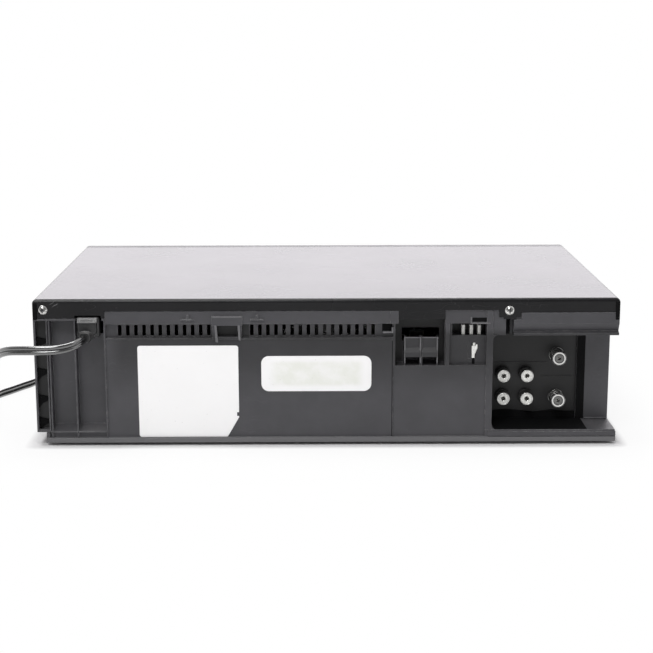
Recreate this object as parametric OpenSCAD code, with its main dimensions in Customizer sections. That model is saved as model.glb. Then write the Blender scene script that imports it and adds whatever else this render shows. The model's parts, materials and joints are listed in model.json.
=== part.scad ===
// Video cassette recorder with a front flap, seen from behind in the photo.
// Millimetres. +Z is up, the front panel faces -Y and the rear panel faces +Y.
// The origin is under the middle of the case, on the surface that it stands on.

/* [Node] */

/* [Case] */
// width of the steel cover, side to side
body_w = 380; // [378:1:392]
// depth, front of the buttons to the rear edge
body_d = 232; // [231:1:240]
// height of the cover's top above the surface
body_h = 97.6; // [97:0.2:104]
// thickness of the cover's steel sheet
sheet = 0.8; // [0.6:0.1:1]
// outer radius of the cover's bends
bend_r = 2.4; // [1.6:0.2:3.2]
// height of the feet
foot_h = 2; // [1.5:0.25:2.5]
// radius of the feet
foot_r = 9; // [7:0.5:11]
// thickness of the moulded walls
wall = 2.2; // [2:0.1:2.5]
// depth of the front panel's rim
bezel_rim = 9; // [8:0.5:10]
// radius of the cover screws' heads
screw_head_r = 3.1; // [2.8:0.1:3.4]
// radius of the small screws' shanks
screw_r = 1.45; // [1.3:0.05:1.6]

/* [Rear panel] */
// width of one vent slot
vent_w = 2.4; // [2:0.1:2.8]
// height of one vent slot
vent_h = 7.3; // [6:0.1:8]
// distance from one vent slot to the next
vent_pitch = 5.26; // [5:0.02:5.3]
// number of slots in the bank nearer the cord
vents_a = 12; // [8:1:12]
// number of slots in the middle bank
vents_b = 16; // [10:1:16]
// how far the jack panel lies behind the rear plane
jack_depth = 30; // [27:0.5:32]
// width of the large label
label_w = 65.6; // [60:0.2:68]
// thickness of the labels
label_t = 0.3; // [0.2:0.1:0.4]
// outer radius of a phono jack's shell
phono_r = 4.15; // [4:0.05:4.3]
// distance between phono jacks
phono_pitch = 15.6; // [15:0.2:16.5]
// outer radius of an aerial connector's thread
aerial_r = 4.76; // [4.6:0.02:4.9]
// length of an aerial connector's barrel
aerial_len = 12; // [10:0.5:13]
// radius of the white pins' half width
pin_w = 2.1; // [1.8:0.1:2.4]

/* [Cord] */
// diameter of the lead that takes up as much room as the flat cord
cord_d = 6; // [5.4:0.1:6]
// distance between turns of the coil, centre to centre
coil_pitch = 6.6; // [6.5:0.05:7]
// radius of the coil's outermost turn
coil_r0 = 42; // [41:0.5:46]

/* [Transport] */
// thickness of the steel deck plate
deck_t = 1.5; // [1.2:0.1:1.8]
// radius of the head drum
drum_r = 31; // [30:0.1:31.5]
// tilt of the head drum
drum_tilt = 5.96; // [5:0.1:6.2]
// radius of the capstan shaft
capstan_r = 1.75; // [1.5:0.05:2]
// radius of the flywheel
fly_r = 25; // [22:0.5:26]
// radius of the pinch roller
pinch_r = 7.5; // [7:0.1:8]
// radius of a reel table
reel_r = 19; // [17:0.5:20]
// distance between the reel spindles
reel_gap = 90; // [88:0.5:92]
// radius of a guide roller
guide_r = 3; // [2.6:0.1:3.2]
// width of the cassette bay between its rails
bay_w = 197.6; // [197:0.2:199]
// how far the holder slides out
holder_out = 27; // [20:1:27]
// how far the holder comes down
holder_down = 20; // [16:1:20]
// height of the cassette door
door_h = 28.4; // [27:0.2:28.8]
// running clearance between a shaft and its bore
run_fit = 0.06; // [0.04:0.01:0.09]
// clearance round pieces that slide past each other
slide_fit = 0.3; // [0.25:0.05:0.4]

/* [Controls] */
// free width between two small buttons
key_gap = 5; // [4.5:0.5:7]
// height of a small button
key_h = 6.5; // [5.5:0.5:7]
// travel of a button
key_travel = 0.8; // [0.5:0.1:0.9]
// width beside the bay that the display window leaves free
window_free = 25.2; // [23.2:1:35.2]
// height of the display window
window_h = 20; // [16:1:21]

/* [Hidden] */
$fn = 48;
e = 0.01;
half_w = body_w / 2;
rear_y = body_d / 2;
front_y = -body_d / 2;
base_z = foot_h + wall;

// The rear panel is drawn at the size it has in the photo and stretched to the case.
kx = body_w / 380;
kz = body_h / 97.6;
draw_w = half_w / kx;
draw_h = body_h / kz;
foot_z = foot_h / kz;

// front panel: face plane, inner plane of its plate, back of its rim
face_y = front_y + 1;
plate_t = 2.5;
plate_y = face_y + plate_t;
rim_y = face_y + bezel_rim;

// rear panel: depths are measured inwards from the rear plane
flange_d = 1;
panel_d = 2;
band_top = draw_h - sheet;
strip_x0 = -41.3;
strip_x1 = 143.6;
strip_z0 = 81.4;
strip_z1 = 89.6;
vent_top = 80.3;
ledge_z = 72;
rail_z = 8.6;
lip_z = 5.2;
jack_frame = 106;
step_x = -43.5;
jack_x0 = -draw_w + 20;
jack_x1 = -108.3;
jack_z0 = 10;
jack_z1 = 72.2;
col_w = 9;
col_d = 12;

// places of the jacks and of the aerial connectors, seen from behind
phono_x = -118.4 * kx;
phono_z = 41 * kz;
aerial_x = -154.6 * kx;
aerial_z = [53.6 * kz, 24.8 * kz];
aerial_tip = jack_depth - aerial_len;
phono_len = 9;

// cord bushing and its nose
bush_x0 = 147;
bush_x1 = 162;
bush_z0 = 74.4;
bush_z1 = 86;
nose_c = [155.5 * kx, rear_y + 8, 74.2 * kz];
nose_w = 9.4;
nose_h = 7;

// boards and deck
board_t = 1.6;
board_z = 9;
deck_z = 31.5;
deck_top = deck_z + deck_t;
deck_x = bay_w / 2 + 5;
deck_y0 = rim_y + 10;
deck_y1 = 82;
deck_leg = [for (x = [-deck_x + 9, deck_x - 9], y = [deck_y0 + 10, 74]) [x, y]];
leg_r = 4;

// transport places
drum_c = [0, 46];
drum_z = 50;
capstan_c = [62, 38];
fly_z0 = 17;
fly_z1 = 24;
pinch_pivot = [bay_w / 2 - 8.8, 34];
pinch_shut = [capstan_c[0] + 4.8 / 9.6 * (capstan_r + pinch_r + slide_fit),
              capstan_c[1] - 8.3 / 9.6 * (capstan_r + pinch_r + slide_fit)];
pinch_swing = 30;
reel_c = [[-reel_gap / 2, -51], [reel_gap / 2, -51]];
reel_z = deck_top + 0.3;
idler_pivot = [0, -66];
idler_arm_l = 20;
idler_r = (reel_gap / 2 - reel_r) / 2 - 0.8;
pulley_r = 7;
belt_t = 0.8;
belt_z = 25.5;
cam_c = [-bay_w / 2 + 24.8, 50];
cam_r = 18;
cam_z = 40;
worm_r = 3.4;
motor_y = cam_c[1] + cam_r + worm_r + 0.9;
motor_z = cam_z + 2.5;
guide_a = [-34, -2];
guide_b = [-41, 57];
guide_run = norm(guide_b - guide_a);
guide_ang = atan2(guide_b[1] - guide_a[1], guide_b[0] - guide_a[0]);
guide_top = 60;
tension_pivot = [-bay_w / 2 + 12.8, 12];
tension_l = 22;
roller_c = [-bay_w / 2 + 42.8, 30];

// cassette holder: at rest it is fully in and still up
hold_x = bay_w / 2 - 3.3;
hold_y0 = -80;
hold_y1 = 4;
hold_t = 1;
hold_z1 = body_h - 13.6;
hold_z0 = hold_z1 - 25.5;
lug_z = hold_z1 - 13;
lug_y = [-66, -14];
lug_r = 2;
rail_t = 1.2;
rail_x = bay_w / 2;
rack_t = 2;
rack_x = rail_x + rail_t + 0.3;

// cassette door and its hinge
door_x = bay_w / 2 - 3;
door_t = 2;
door_top = body_h - 11.2;
hinge_y = face_y + 4.5;
hinge_z = door_top - 2;
hinge_r = 1.5;

// buttons: [middle x, middle z, width, height]
lane = half_w - bay_w / 2;
window_w = lane - window_free;
key_rows_z = [44, 31];
key_step = lane / 4.8;
key_w = key_step - key_gap;
key_x0 = half_w - 4 * key_step;
power_key = [-half_w + 30, body_h - 27.6, 20, 8];
front_board_y = plate_y + 9.4;

// Small helpers shared by the pieces.

module slab(x0, x1, y0, y1, z0, z1) {
  translate([x0, y0, z0])
    cube([x1 - x0, y1 - y0, z1 - z0]);
}

// a block on the drawn rear panel, from depth d0 to depth d1 behind the rear plane
module rear(x0, x1, z0, z1, d0, d1) {
  slab(x0 * kx, x1 * kx, rear_y - d1, rear_y - d0, z0 * kz, z1 * kz);
}

// cylinders along X, Y and Z between two ends
module rod_x(x0, x1, y, z, r) {
  translate([x0, y, z]) rotate([0, 90, 0]) cylinder(h = x1 - x0, r = r);
}

module rod_y(x, y0, y1, z, r) {
  translate([x, y0, z]) rotate([-90, 0, 0]) cylinder(h = y1 - y0, r = r);
}

module rod_z(x, y, z0, z1, r) {
  translate([x, y, z0]) cylinder(h = z1 - z0, r = r);
}

// a rectangle with round corners
module round_rect(w, h, r) {
  square([w - 2 * r, h], center = true);
  square([w, h - 2 * r], center = true);
  for (sx = [-1, 1], sy = [-1, 1])
    translate([sx * (w / 2 - r), sy * (h / 2 - r)]) circle(r);
}

// a plate with round corners, standing across Y, its middle a place on the drawn rear panel
module rear_plate(xm, zm, w, h, r, y0, y1) {
  translate([xm * kx, y1, zm * kz]) rotate([90, 0, 0])
    linear_extrude(y1 - y0) round_rect(w * kx, h * kz, r);
}

// a profile in depth and height on the drawn rear panel, drawn out along X
module along_x(x0, x1, points) {
  translate([x0 * kx, rear_y, 0]) rotate([90, 0, 90])
    linear_extrude((x1 - x0) * kx) polygon([for (p = points) [-p[0], p[1] * kz]]);
}

// a screw with a pan head and a crossed slot; the head points along +Z from z = 0
module pan_screw(head_r, shank_r, shank_l) {
  head_h = head_r * 0.62;
  slot_w = head_r * 0.27;
  slot_l = head_r * 1.1;
  difference() {
    union() {
      rotate_extrude() intersection() {
        translate([0, head_h - head_r * 1.25]) circle(head_r * 1.25);
        square([head_r, head_h]);
      }
      translate([0, 0, -shank_l]) cylinder(h = shank_l + e, r = shank_r);
    }
    for (a = [0, 90])
      rotate([0, 0, a]) translate([-slot_l / 2, -slot_w / 2, head_h * 0.35])
        cube([slot_l, slot_w, head_h]);
  }
}

// Points and rings of the soft forms.

function unit(v) = v / norm(v);

// one point of the smooth curve through a, b, c and d, at t between b and c
function curve_at(a, b, c, d, t) =
  0.5 * (2 * b + (c - a) * t + (2 * a - 5 * b + 4 * c - d) * t * t
  + (3 * b - 3 * c + d - a) * t * t * t);

// a smooth line through chosen points, n steps between two of them
function smooth_line(p, n) = concat(
  [for (i = [0 : len(p) - 2], k = [0 : n - 1])
    curve_at(p[max(i - 1, 0)], p[i], p[i + 1], p[min(i + 2, len(p) - 1)], k / n)],
  [p[len(p) - 1]]);

function total(v) = v * [for (x = v) 1];

function line_length(p) = total([for (i = [1 : len(p) - 1]) norm(p[i] - p[i - 1])]);

function way(p, i) = unit(p[min(i + 1, len(p) - 1)] - p[max(i - 1, 0)]);

// a tube of triangles round a line; its rings are turned so that one side faces up
module tube(p, r, sides, up = [0, 0, 1]) {
  rings = [for (i = [0 : len(p) - 1])
    let (t = way(p, i), u = unit(cross(t, up)), v = cross(u, t))
    for (k = [0 : sides - 1])
      p[i] + r * (cos(360 * (k + 0.5) / sides) * u + sin(360 * (k + 0.5) / sides) * v)];
  n = len(p);
  last = (n - 1) * sides;
  polyhedron(points = concat(rings, [p[0], p[n - 1]]), faces = concat(
    [for (i = [0 : n - 2], k = [0 : sides - 1])
      let (a = i * sides + k, b = i * sides + (k + 1) % sides) [a, b, b + sides]],
    [for (i = [0 : n - 2], k = [0 : sides - 1])
      let (a = i * sides + k, b = i * sides + (k + 1) % sides) [a, b + sides, a + sides]],
    [for (k = [0 : sides - 1]) [n * sides, (k + 1) % sides, k]],
    [for (k = [0 : sides - 1]) [n * sides + 1, last + k, last + (k + 1) % sides]]));
}

// the least gap between parts of a line that lie more than skip points apart along it
function least_gap(p, d, skip) = min([for (i = [0 : len(p) - 1])
  for (j = [i + skip : 1 : len(p) - 1]) norm(p[i] - p[j])]) - d;

// The case.

// the cover's outer block: round along both side edges and along the rear edge
module cover_block(inset) {
  w = half_w - inset;
  top = body_h - inset;
  back = rear_y - flange_d - inset;
  r = max(bend_r - inset, 0.4);
  intersection() {
    translate([0, rim_y, 0]) rotate([-90, 0, 0]) mirror([0, 1, 0])
      linear_extrude(back - rim_y + bend_r) union() {
        translate([-w, 0]) square([2 * w, top - r]);
        translate([-w + r, 0]) square([2 * (w - r), top]);
        for (s = [-1, 1])
          translate([s * (w - r), top - r]) circle(r);
      }
    translate([-half_w, 0, 0]) rotate([90, 0, 90])
      linear_extrude(body_w) union() {
        translate([rim_y - 1, 0]) square([back - rim_y + 1, top - r]);
        translate([rim_y - 1, 0]) square([back - rim_y + 1 - r, top]);
        translate([back - r, top - r]) circle(r);
      }
  }
}

module top_cover() {
  color([0.86, 0.85, 0.87])
  difference() {
    cover_block(0);
    difference() {
      cover_block(sheet);
      slab(-half_w, half_w, rim_y - 1, rear_y, -1, 8.9);
    }
    // open below and at the front
    slab(-half_w - 1, half_w + 1, rim_y - 2, rear_y + 1, -1, 9);
    slab(-half_w + sheet, half_w - sheet, rim_y - 2, rim_y + 1, 0, body_h - sheet);
    // the side plates stop short of the moulded corners
    slab(half_w - 3, half_w + 1, rear_y - col_d, rear_y + 1, 0, 85.2 * kz);
    slab(-half_w - 1, -half_w + 3, rear_y - jack_depth - wall - slide_fit, rear_y + 1, 0, 88.4 * kz);
    // the stepped lower edge of the rear flange
    rear(strip_x1 - e, draw_w + 1, 0, 85.3, -1, 6);
    rear(strip_x0 - e, strip_x1, 0, 90, -1, 6);
    rear(-77, strip_x0, 0, 84, -1, 6);
    rear(-112 - e, -77 + e, 0, 89.9, -1, 6);
    rear(-126, -112, 0, 84, -1, 6);
    rear(-draw_w - 1, -126 + e, 0, 88.5, -1, 6);
    // small wings beside the screw tab
    for (x = [-115, -126])
      rear(x, x + 3, 83, 85.2, -1, 6);
    // cut for the cord bushing
    rear(bush_x0 - 1, bush_x1 + 1, 84, bush_z1 + 1, -1, 6);
    // notches between the flange and the folded side walls
    for (s = [-1, 1])
      slab(s * (half_w - sheet - 0.7) - 0.6, s * (half_w - sheet - 0.7) + 0.6, rear_y - 6,
        rear_y + 1, body_h - 17.6, body_h - bend_r - 1.5);
    // screw holes
    for (p = cover_screw)
      rod_y(p[0], rear_y - 6, rear_y + 1, p[1], screw_r + 0.25);
  }
}

cover_screw = [[half_w - 6.6, 90.7 * kz], [-118.6 * kx, 89.6 * kz]];

module screws() {
  color([0.8, 0.8, 0.8]) {
    for (p = cover_screw)
      translate([p[0], rear_y - flange_d, p[1]]) rotate([-90, 0, 0])
        pan_screw(screw_head_r, screw_r, 8);
    for (p = deck_leg)
      translate([p[0], p[1], deck_top]) pan_screw(screw_head_r, screw_r, 8);
  }
}

// vent slots of one bank, from its first slot towards -X
module vent_bank(x_first, count) {
  for (i = [0 : count - 1])
    rear_plate(x_first - i * vent_pitch, vent_top - vent_h / 2, vent_w, vent_h, vent_w * 0.3,
      rear_y - 4 - 2 * wall, rear_y);
}

module rear_wall() {
  difference() {
    union() {
      // flat panel that carries the labels
      rear(step_x, strip_x1 + 1, foot_z, ledge_z, panel_d, panel_d + wall);
      // ledge under the vents
      rear(strip_x0, strip_x1, ledge_z - 1.2, ledge_z, panel_d - 0.6, 4 + wall);
      // wall with the vents and the sloped strip over it
      rear(step_x, strip_x1 + 1, ledge_z - 1.2, strip_z0 + 1, 4, 4 + wall);
      along_x(strip_x0, strip_x1, [[0.2, strip_z0], [0.2, strip_z0 + 0.6], [1.4, strip_z1],
        [4 + wall, strip_z1], [4 + wall, strip_z0]]);
      // band behind the cover's flange
      rear(-draw_w + 3, draw_w - 3, strip_z1 - e, band_top - bend_r, flange_d + sheet + 0.1,
        flange_d + sheet + 0.1 + wall);
      // set-back panel and three ribs beside the cord
      rear(strip_x1, draw_w - col_w + 0.2, foot_z, 85, 9, 9 + wall);
      for (x = [draw_w - 10, draw_w - 26.7, strip_x1 + 0.4])
        rear(x - 0.5, x + 0.5, rail_z - e, 84.6, 1, 9 + e);
      rear(strip_x1, draw_w - col_w + 0.2, 83.6, 85, 1, 9 + e);
      rear(draw_w - 26.7, strip_x1 + 0.4 + 0, 9, 9.1, 9, 9.2);
      // corner column with snap holes
      rear(draw_w - col_w, draw_w, 9.2, 85, 0.6, col_d - 0.2);
      // slope of the recess foot
      along_x(strip_x1, draw_w - col_w, [[1, rail_z - e], [1, 9.4], [9 + e, 13], [9 + e, rail_z - e]]);
      // middle part with the hook bay and the pin bay
      rear(-jack_frame, step_x + e, foot_z, 53, panel_d, panel_d + wall);
      rear(-jack_frame, step_x + e, 52, strip_z1, 14, 14 + wall);
      rear(step_x - 1.2, step_x + e, 52, 84, panel_d, 14 + e);
      rear(-jack_frame, -77, 52, strip_z1, 5.5, 5.5 + wall);
      rear(-80, -77.4, 52, strip_z1, panel_d, 14 + e);
      rear(-jack_frame, step_x + e, 51, 53, panel_d, 14 + e);
      rear(-112, -77, 81, strip_z1, panel_d, 5.5 + e);
      // frame of the jack recess
      rear(jack_x1, -104, foot_z, strip_z1, panel_d - 0.8, jack_depth + wall);
      // visor over the jacks: flat face, hollow lower face and a lip
      along_x(-draw_w, -121.5, [[0.4, 81.1], [0.9, 88.2], [jack_depth + wall, 88.2],
        [jack_depth + wall, jack_z1 + 0.9], [0.8, jack_z1 + 0.9], [0.8, 74.6], [3.4, 75.6]]);
      rear(-116.5, jack_x1 + e, jack_z1 + 0.9, 88.2, panel_d, jack_depth + wall);
      rear(-121.6, -116.4, jack_z1 + 0.9, 84, 8, jack_depth + wall);
      // set-back wall at the side of the jacks, and the sill
      rear(-draw_w + 0.4, jack_x0 + wall, foot_z, 73.2, jack_depth - 2, jack_depth + wall);
      rear(-draw_w + 0.4, -104, foot_z, rail_z + 1.2, 0.8, jack_depth + 1.5);
      // bottom rail: a low lip along the flat panel, full height at the jacks
      rear(-draw_w, draw_w - 6, foot_z, lip_z, 0, panel_d + wall);
      rear(-draw_w, -jack_frame, foot_z, rail_z, 0.2, panel_d + wall);
      // hook tabs with their curled feet
      for (x = [-61.6, -72.6]) hook_tab(x);
      // raised clip block beside the vents
      rear(55, 74, 71, 86, 0.4, 4 + e);
      rear(54.6, 74.4, 80.4, 86.4, -0.5, 1.4);
      // small catches on the strip
      for (x = [90, 45]) {
        rear(x - 4.4, x + 4.4, 83.6, 84.6, -0.6, 2);
        rear(x - 0.7, x + 0.7, 84, 87.2, -0.5, 2);
      }
    }
    vent_bank(134.4, vents_a);
    vent_bank(48.6, vents_b);
    // groove along the rail
    rear(-draw_w - 1, -jack_frame, lip_z - 0.1, lip_z + 0.4, -1, 0.9);
    // window of the raised clip, open at the top
    rear(56.8, 72.2, 72.8, 80.2, -1, 5.2);
    // channel in the corner column and its deeper snap holes
    rear(draw_w - col_w + 0.8, draw_w - 1.2, 10.8, 83.8, -1, 5);
    for (z = [[66, 81], [45.6, 54], [27.6, 35.6], [11.4, 19.4]])
      rear(draw_w - col_w + 2.6, draw_w - 1.2, z[0], z[1], 4, 10.4);
    // cut-out for the cord bushing
    rear(bush_x0 - 1.4, bush_x1 + 0.3, bush_z0 - 0.6, 90, -1, 20);
    // openings behind the hooks, the pin window and the keyed slot
    rear(-74, -49.5, 67, 76, 10, 20);
    rear(-104.1, -81.9, 72.3, 80.6, -1, 20);
    rear(-97.4, -92.4, 57, 69.4, -1, 8);
    // seat and slot of the cover's screw tab
    rear(-126.4, -111.6, 83.6, 90, -1, flange_d + sheet + 0.1);
    rear(-120, -117, 72, 84.4, -1, 10);
    // bores for the cover screws
    for (p = cover_screw)
      rod_y(p[0], rear_y - 12, rear_y + 1, p[1], screw_r);
  }
  // rounded corners of the jack recess
  for (c = [[jack_z1 + 0.9 + e, -3], [rail_z + 1.2 - e, 3]])
    difference() {
      rear(jack_x1 - 3, jack_x1 + e, min(c[0], c[0] + c[1]), max(c[0], c[0] + c[1]),
        panel_d - 0.8, jack_depth - 0.5);
      rod_y((jack_x1 - 3) * kx, rear_y - jack_depth, rear_y + 1, (c[0] + c[1]) * kz, 3);
    }
  for (p = cover_screw)
    difference() {
      rod_y(p[0], rear_y - 12, rear_y - flange_d - sheet - 0.1, p[1], 3.4);
      rod_y(p[0], rear_y - 12.5, rear_y, p[1], screw_r);
    }
}

module hook_tab(x) {
  along_x(x + 0.5, x + 10.5, [[4, 71.5], [4, 64.6], [2.2, 61.6], [2.2, 58.5], [14.1, 52.5],
    [14.1, 54], [6, 58.8], [6, 71.5]]);
  for (sx = [0, 10.1])
    rear(x + sx, x + sx + 0.9, 52.5, 72, 3.2, 14 + e);
}

module chassis() {
  color([0.29, 0.285, 0.3])
  difference() {
    union() {
      rear_wall();
      // base plate with a skirt round it
      slab(-half_w + 4, half_w - 6, rim_y, rear_y - 1, foot_h, base_z);
      for (x = [-half_w + 0.4, half_w - 6 - wall])
        slab(x, x + wall, rim_y, rear_y - 0.8, foot_h, 8.8);
      slab(-half_w + 0.5, -half_w + 5, rim_y, rear_y - 1, foot_h, base_z);
      // low side walls inside the cover
      for (s = [-1, 1])
        slab(s * (half_w - sheet - slide_fit - wall / 2) - wall / 2,
          s * (half_w - sheet - slide_fit - wall / 2) + wall / 2,
          rim_y, rear_y - (s > 0 ? col_d - 1 : jack_depth), 9.1, 40);
      for (s = [-1, 1])
        slab(s * (half_w - 5) - 4, s * (half_w - 5) + 3.9, rim_y, rear_y - jack_depth, 8, 9);
      // legs of the deck and bosses of the boards
      for (p = deck_leg)
        rod_z(p[0], p[1], foot_h, deck_z, leg_r);
      for (x = [-half_w + 18, -60, 60, 92], y = [rim_y + 18, 70])
        rod_z(x, y, foot_h, board_z, 3);
      for (x = [deck_x + 10.2, half_w - 16], y = [-30, rear_y - 20])
        rod_z(x, y, foot_h, board_z, 3);
    }
    for (p = deck_leg)
      rod_z(p[0], p[1], deck_z - 9, deck_z + 1, screw_r);
    // slots in the base under the power board
    for (i = [0 : 9])
      slab(deck_x + 12.2, half_w - 20, 10 + i * 7, 13 + i * 7, 0, base_z + 1);
  }
}

module feet() {
  color([0.1, 0.1, 0.1])
  for (x = [-half_w + 34, half_w - 34], y = [front_y + 34, rear_y - 34])
    difference() {
      rod_z(x, y, 0, foot_h, foot_r);
      rod_z(x, y, -1, 0.8, foot_r * 0.5);
    }
}

// The labels are bare: a notched plate and a small plate with round corners.
module rear_labels() {
  y1 = rear_y - panel_d + label_t;
  color([0.98, 0.98, 0.98]) {
    difference() {
      rear_plate(90.3, 36.1, label_w, 61.4, 1.6, rear_y - panel_d, y1);
      translate([(90.3 - label_w / 2) * kx, 0, 5.4 * kz]) rotate([0, 60, 0])
        translate([-14, rear_y - 5, -6.4]) cube([28, 10, 13]);
      rear(88 - label_w / 2, 91.6 - label_w / 2, 19.4, 22, -1, panel_d + 1);
    }
    rear_plate(6.7, 47.9, 71.9, 23.6, 5, rear_y - panel_d, y1);
  }
}

// The jacks. Their tips lie behind the rear plane.

phono_at = [for (r = [0, 1], c = [0, 1]) [phono_x - c * phono_pitch, phono_z - r * phono_pitch]];
panel_back = rear_y - jack_depth - 1.5;

module jack_panel() {
  color([0.08, 0.08, 0.085])
  difference() {
    union() {
      rear(jack_x0 + wall, jack_x1 - e * 0, rail_z + 1.2, jack_z1 + 0.9, jack_depth,
        jack_depth + 1.5);
      // plain raised frames between the jacks
      rear(-148, -111, 48.4, 49, jack_depth - 0.4, jack_depth + e);
      rear(-166, -145, 38.8, 39.4, jack_depth - 0.4, jack_depth + e);
    }
    for (p = phono_at)
      rod_y(p[0], panel_back - 1, rear_y, p[1], phono_r + 0.2);
    for (z = aerial_z)
      rod_y(aerial_x, panel_back - 1, rear_y, z, aerial_r + 0.3);
  }
}

module phono_shells() {
  tip = rear_y - jack_depth + phono_len;
  color([0.82, 0.82, 0.82])
  for (p = phono_at)
    difference() {
      rod_y(p[0], panel_back, tip, p[1], phono_r);
      rod_y(p[0], panel_back - 1, tip + 1, p[1], phono_r - 0.6);
    }
}

module phono_cores() {
  tip = rear_y - jack_depth + phono_len;
  color([0.93, 0.93, 0.92])
  for (p = phono_at)
    difference() {
      rod_y(p[0], panel_back, tip - 0.4, p[1], phono_r - 0.6);
      rod_y(p[0], tip - 8, tip, p[1], 1.65);
    }
}

module connector_blocks() {
  color([0.07, 0.07, 0.07]) {
    // body of the phono jacks, standing on the main board
    slab(phono_x - phono_pitch - 6 * kx, phono_x + 6 * kx, panel_back - 2.4, panel_back,
      board_z + board_t, phono_z + 7);
    // block of the white pins, held on the rear wall
    rear(-103.8, -81, 70.5, 82, 14 + wall, 22);
  }
}

module white_pins() {
  color([0.95, 0.95, 0.93]) {
    for (x = [-88.5, -93.8, -99])
      rear(x - pin_w / 2, x + pin_w / 2, 73.6, 80, 9, 14 + wall);
    // keyed post behind the slot
    difference() {
      union() {
        rear(-96.2, -93.6, 57.6, 68.6, 8.2, 14);
        translate([-93.6 * kx, rear_y - 14, 65 * kz]) rotate([0, -22, 0]) translate([-1.6, 0, -6])
          cube([2, 5.8, 8.4]);
      }
      rear(-99, -90, 50, 57.8, 8, 15);
    }
  }
}

module tuner_can() {
  color([0.72, 0.73, 0.74])
  difference() {
    slab(aerial_x - 12 * kx, aerial_x + 12 * kx, panel_back - 40, panel_back,
      board_z + board_t, 66 * kz);
    slab(aerial_x - 12 * kx + 0.6, aerial_x + 12 * kx - 0.6, panel_back - 39.4, panel_back - 0.6,
      board_z + board_t + 1, 66 * kz - 0.6);
    for (i = [0 : 5])
      slab(aerial_x - 14, aerial_x + 14, panel_back - 37 + i * 6, panel_back - 34 + i * 6,
        66 * kz - 10, 66 * kz - 5);
  }
}

// threads on an aerial connector: a round profile with a groove for each turn
module aerial_connectors() {
  pitch = 1;
  turns = floor((aerial_len - 2.4) / pitch);
  color([0.82, 0.82, 0.8])
  for (z = aerial_z)
    translate([aerial_x, panel_back, z]) rotate([-90, 0, 0])
      rotate_extrude() difference() {
        translate([0.55, 0]) square([aerial_r - 0.55, 1.5 + aerial_len]);
        translate([0, aerial_len - 4.5]) square([aerial_r - 1.5, 8]);
        for (i = [0 : turns - 1])
          translate([aerial_r + 0.12, 3 + i * pitch]) rotate(45) square(0.62, center = true);
      }
  color([0.9, 0.9, 0.86])
  for (z = aerial_z)
    translate([aerial_x, panel_back + aerial_len - 4.5, z]) rotate([-90, 0, 0])
      difference() {
        cylinder(h = 4.6, r = aerial_r - 1.5);
        translate([0, 0, -1]) cylinder(h = 9, r = 0.55);
        translate([0, 0, 3.8]) cylinder(h = 9, r = aerial_r - 2.4);
      }
}

// The mains lead.

module cord_bushing() {
  color([0.13, 0.13, 0.135])
  difference() {
    union() {
      rear(bush_x0, bush_x1, bush_z0, bush_z1, 1, 16);
      rear(bush_x0 + 1.6, bush_x1 - 0.6, bush_z0 + 0.4, bush_z1 - 2, -2.4, 1 + e);
      slab(nose_c[0] - nose_w / 2, nose_c[0] + nose_w / 2, rear_y - 2, nose_c[1],
        nose_c[2] - nose_h / 2, nose_c[2] + nose_h / 2);
    }
    // grip grooves in the moulding
    for (i = [0 : 3])
      rear(bush_x0 - 1, bush_x1 + 1, bush_z1 - 0.5, bush_z1 + 1, 9.8 - i * 2.4, 11 - i * 2.4);
    rear(bush_x0 - 1, bush_x0 + 0.8, bush_z0 - 1, bush_z1 + 1, 8.8, 11.2 + wall);
  }
}

// the coil: two layers, spiralling in and out again
coil_c = [half_w - 44, front_y - 56];
coil_in = 2.75;
coil_out = 2.5;
coil_steps = 24;
coil_rise = cord_d + 0.6;
coil_z = 3.1;

// chosen points of the free lead, from the nose to the coil
function lead_pt(x, y, z) =
  [x + half_w - draw_w, y * body_d / 232, z > 10 ? z * kz : z];
lead_way = [nose_c, nose_c + [0, cord_d, 0], nose_c + [1.1, 11.5, -0.2],
  nose_c + [4.5, 17.2, -1.2], nose_c + [10, 21.2, -2.2], nose_c + [17.5, 23, -2.8],
  nose_c + [27.5, 23.4, -2.9], nose_c + [37.5, 22, -3.2], lead_pt(201, 142.6, 70),
  lead_pt(207.6, 136, 67), lead_pt(213, 126.6, 62), lead_pt(217.4, 114.5, 55),
  lead_pt(221.6, 100, 46.5), lead_pt(225.8, 84, 37.5), lead_pt(230.4, 66, 28),
  lead_pt(234.8, 48, 19), lead_pt(238.8, 31, 11), lead_pt(242, 15, 5.6), lead_pt(243, 1.4, 3.4),
  lead_pt(240.6, -9.6, 3.2), lead_pt(235, -20, 3.2), lead_pt(229, -32, 3.2),
  lead_pt(223, -44, 3.2), lead_pt(218, -64, 3.2), lead_pt(211.5, -85, 3.2),
  lead_pt(203.5, -106, 3.2), lead_pt(195.5, -126, 3.2), lead_pt(190, -144, 3.2),
  [coil_c[0] + coil_r0, coil_c[1] + 17, coil_z], [coil_c[0] + coil_r0, coil_c[1] + 11, coil_z]];
lead_line = concat([lead_way[0]], smooth_line([for (i = [1 : len(lead_way) - 2]) lead_way[i]], 2),
  [lead_way[len(lead_way) - 1]]);

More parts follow.
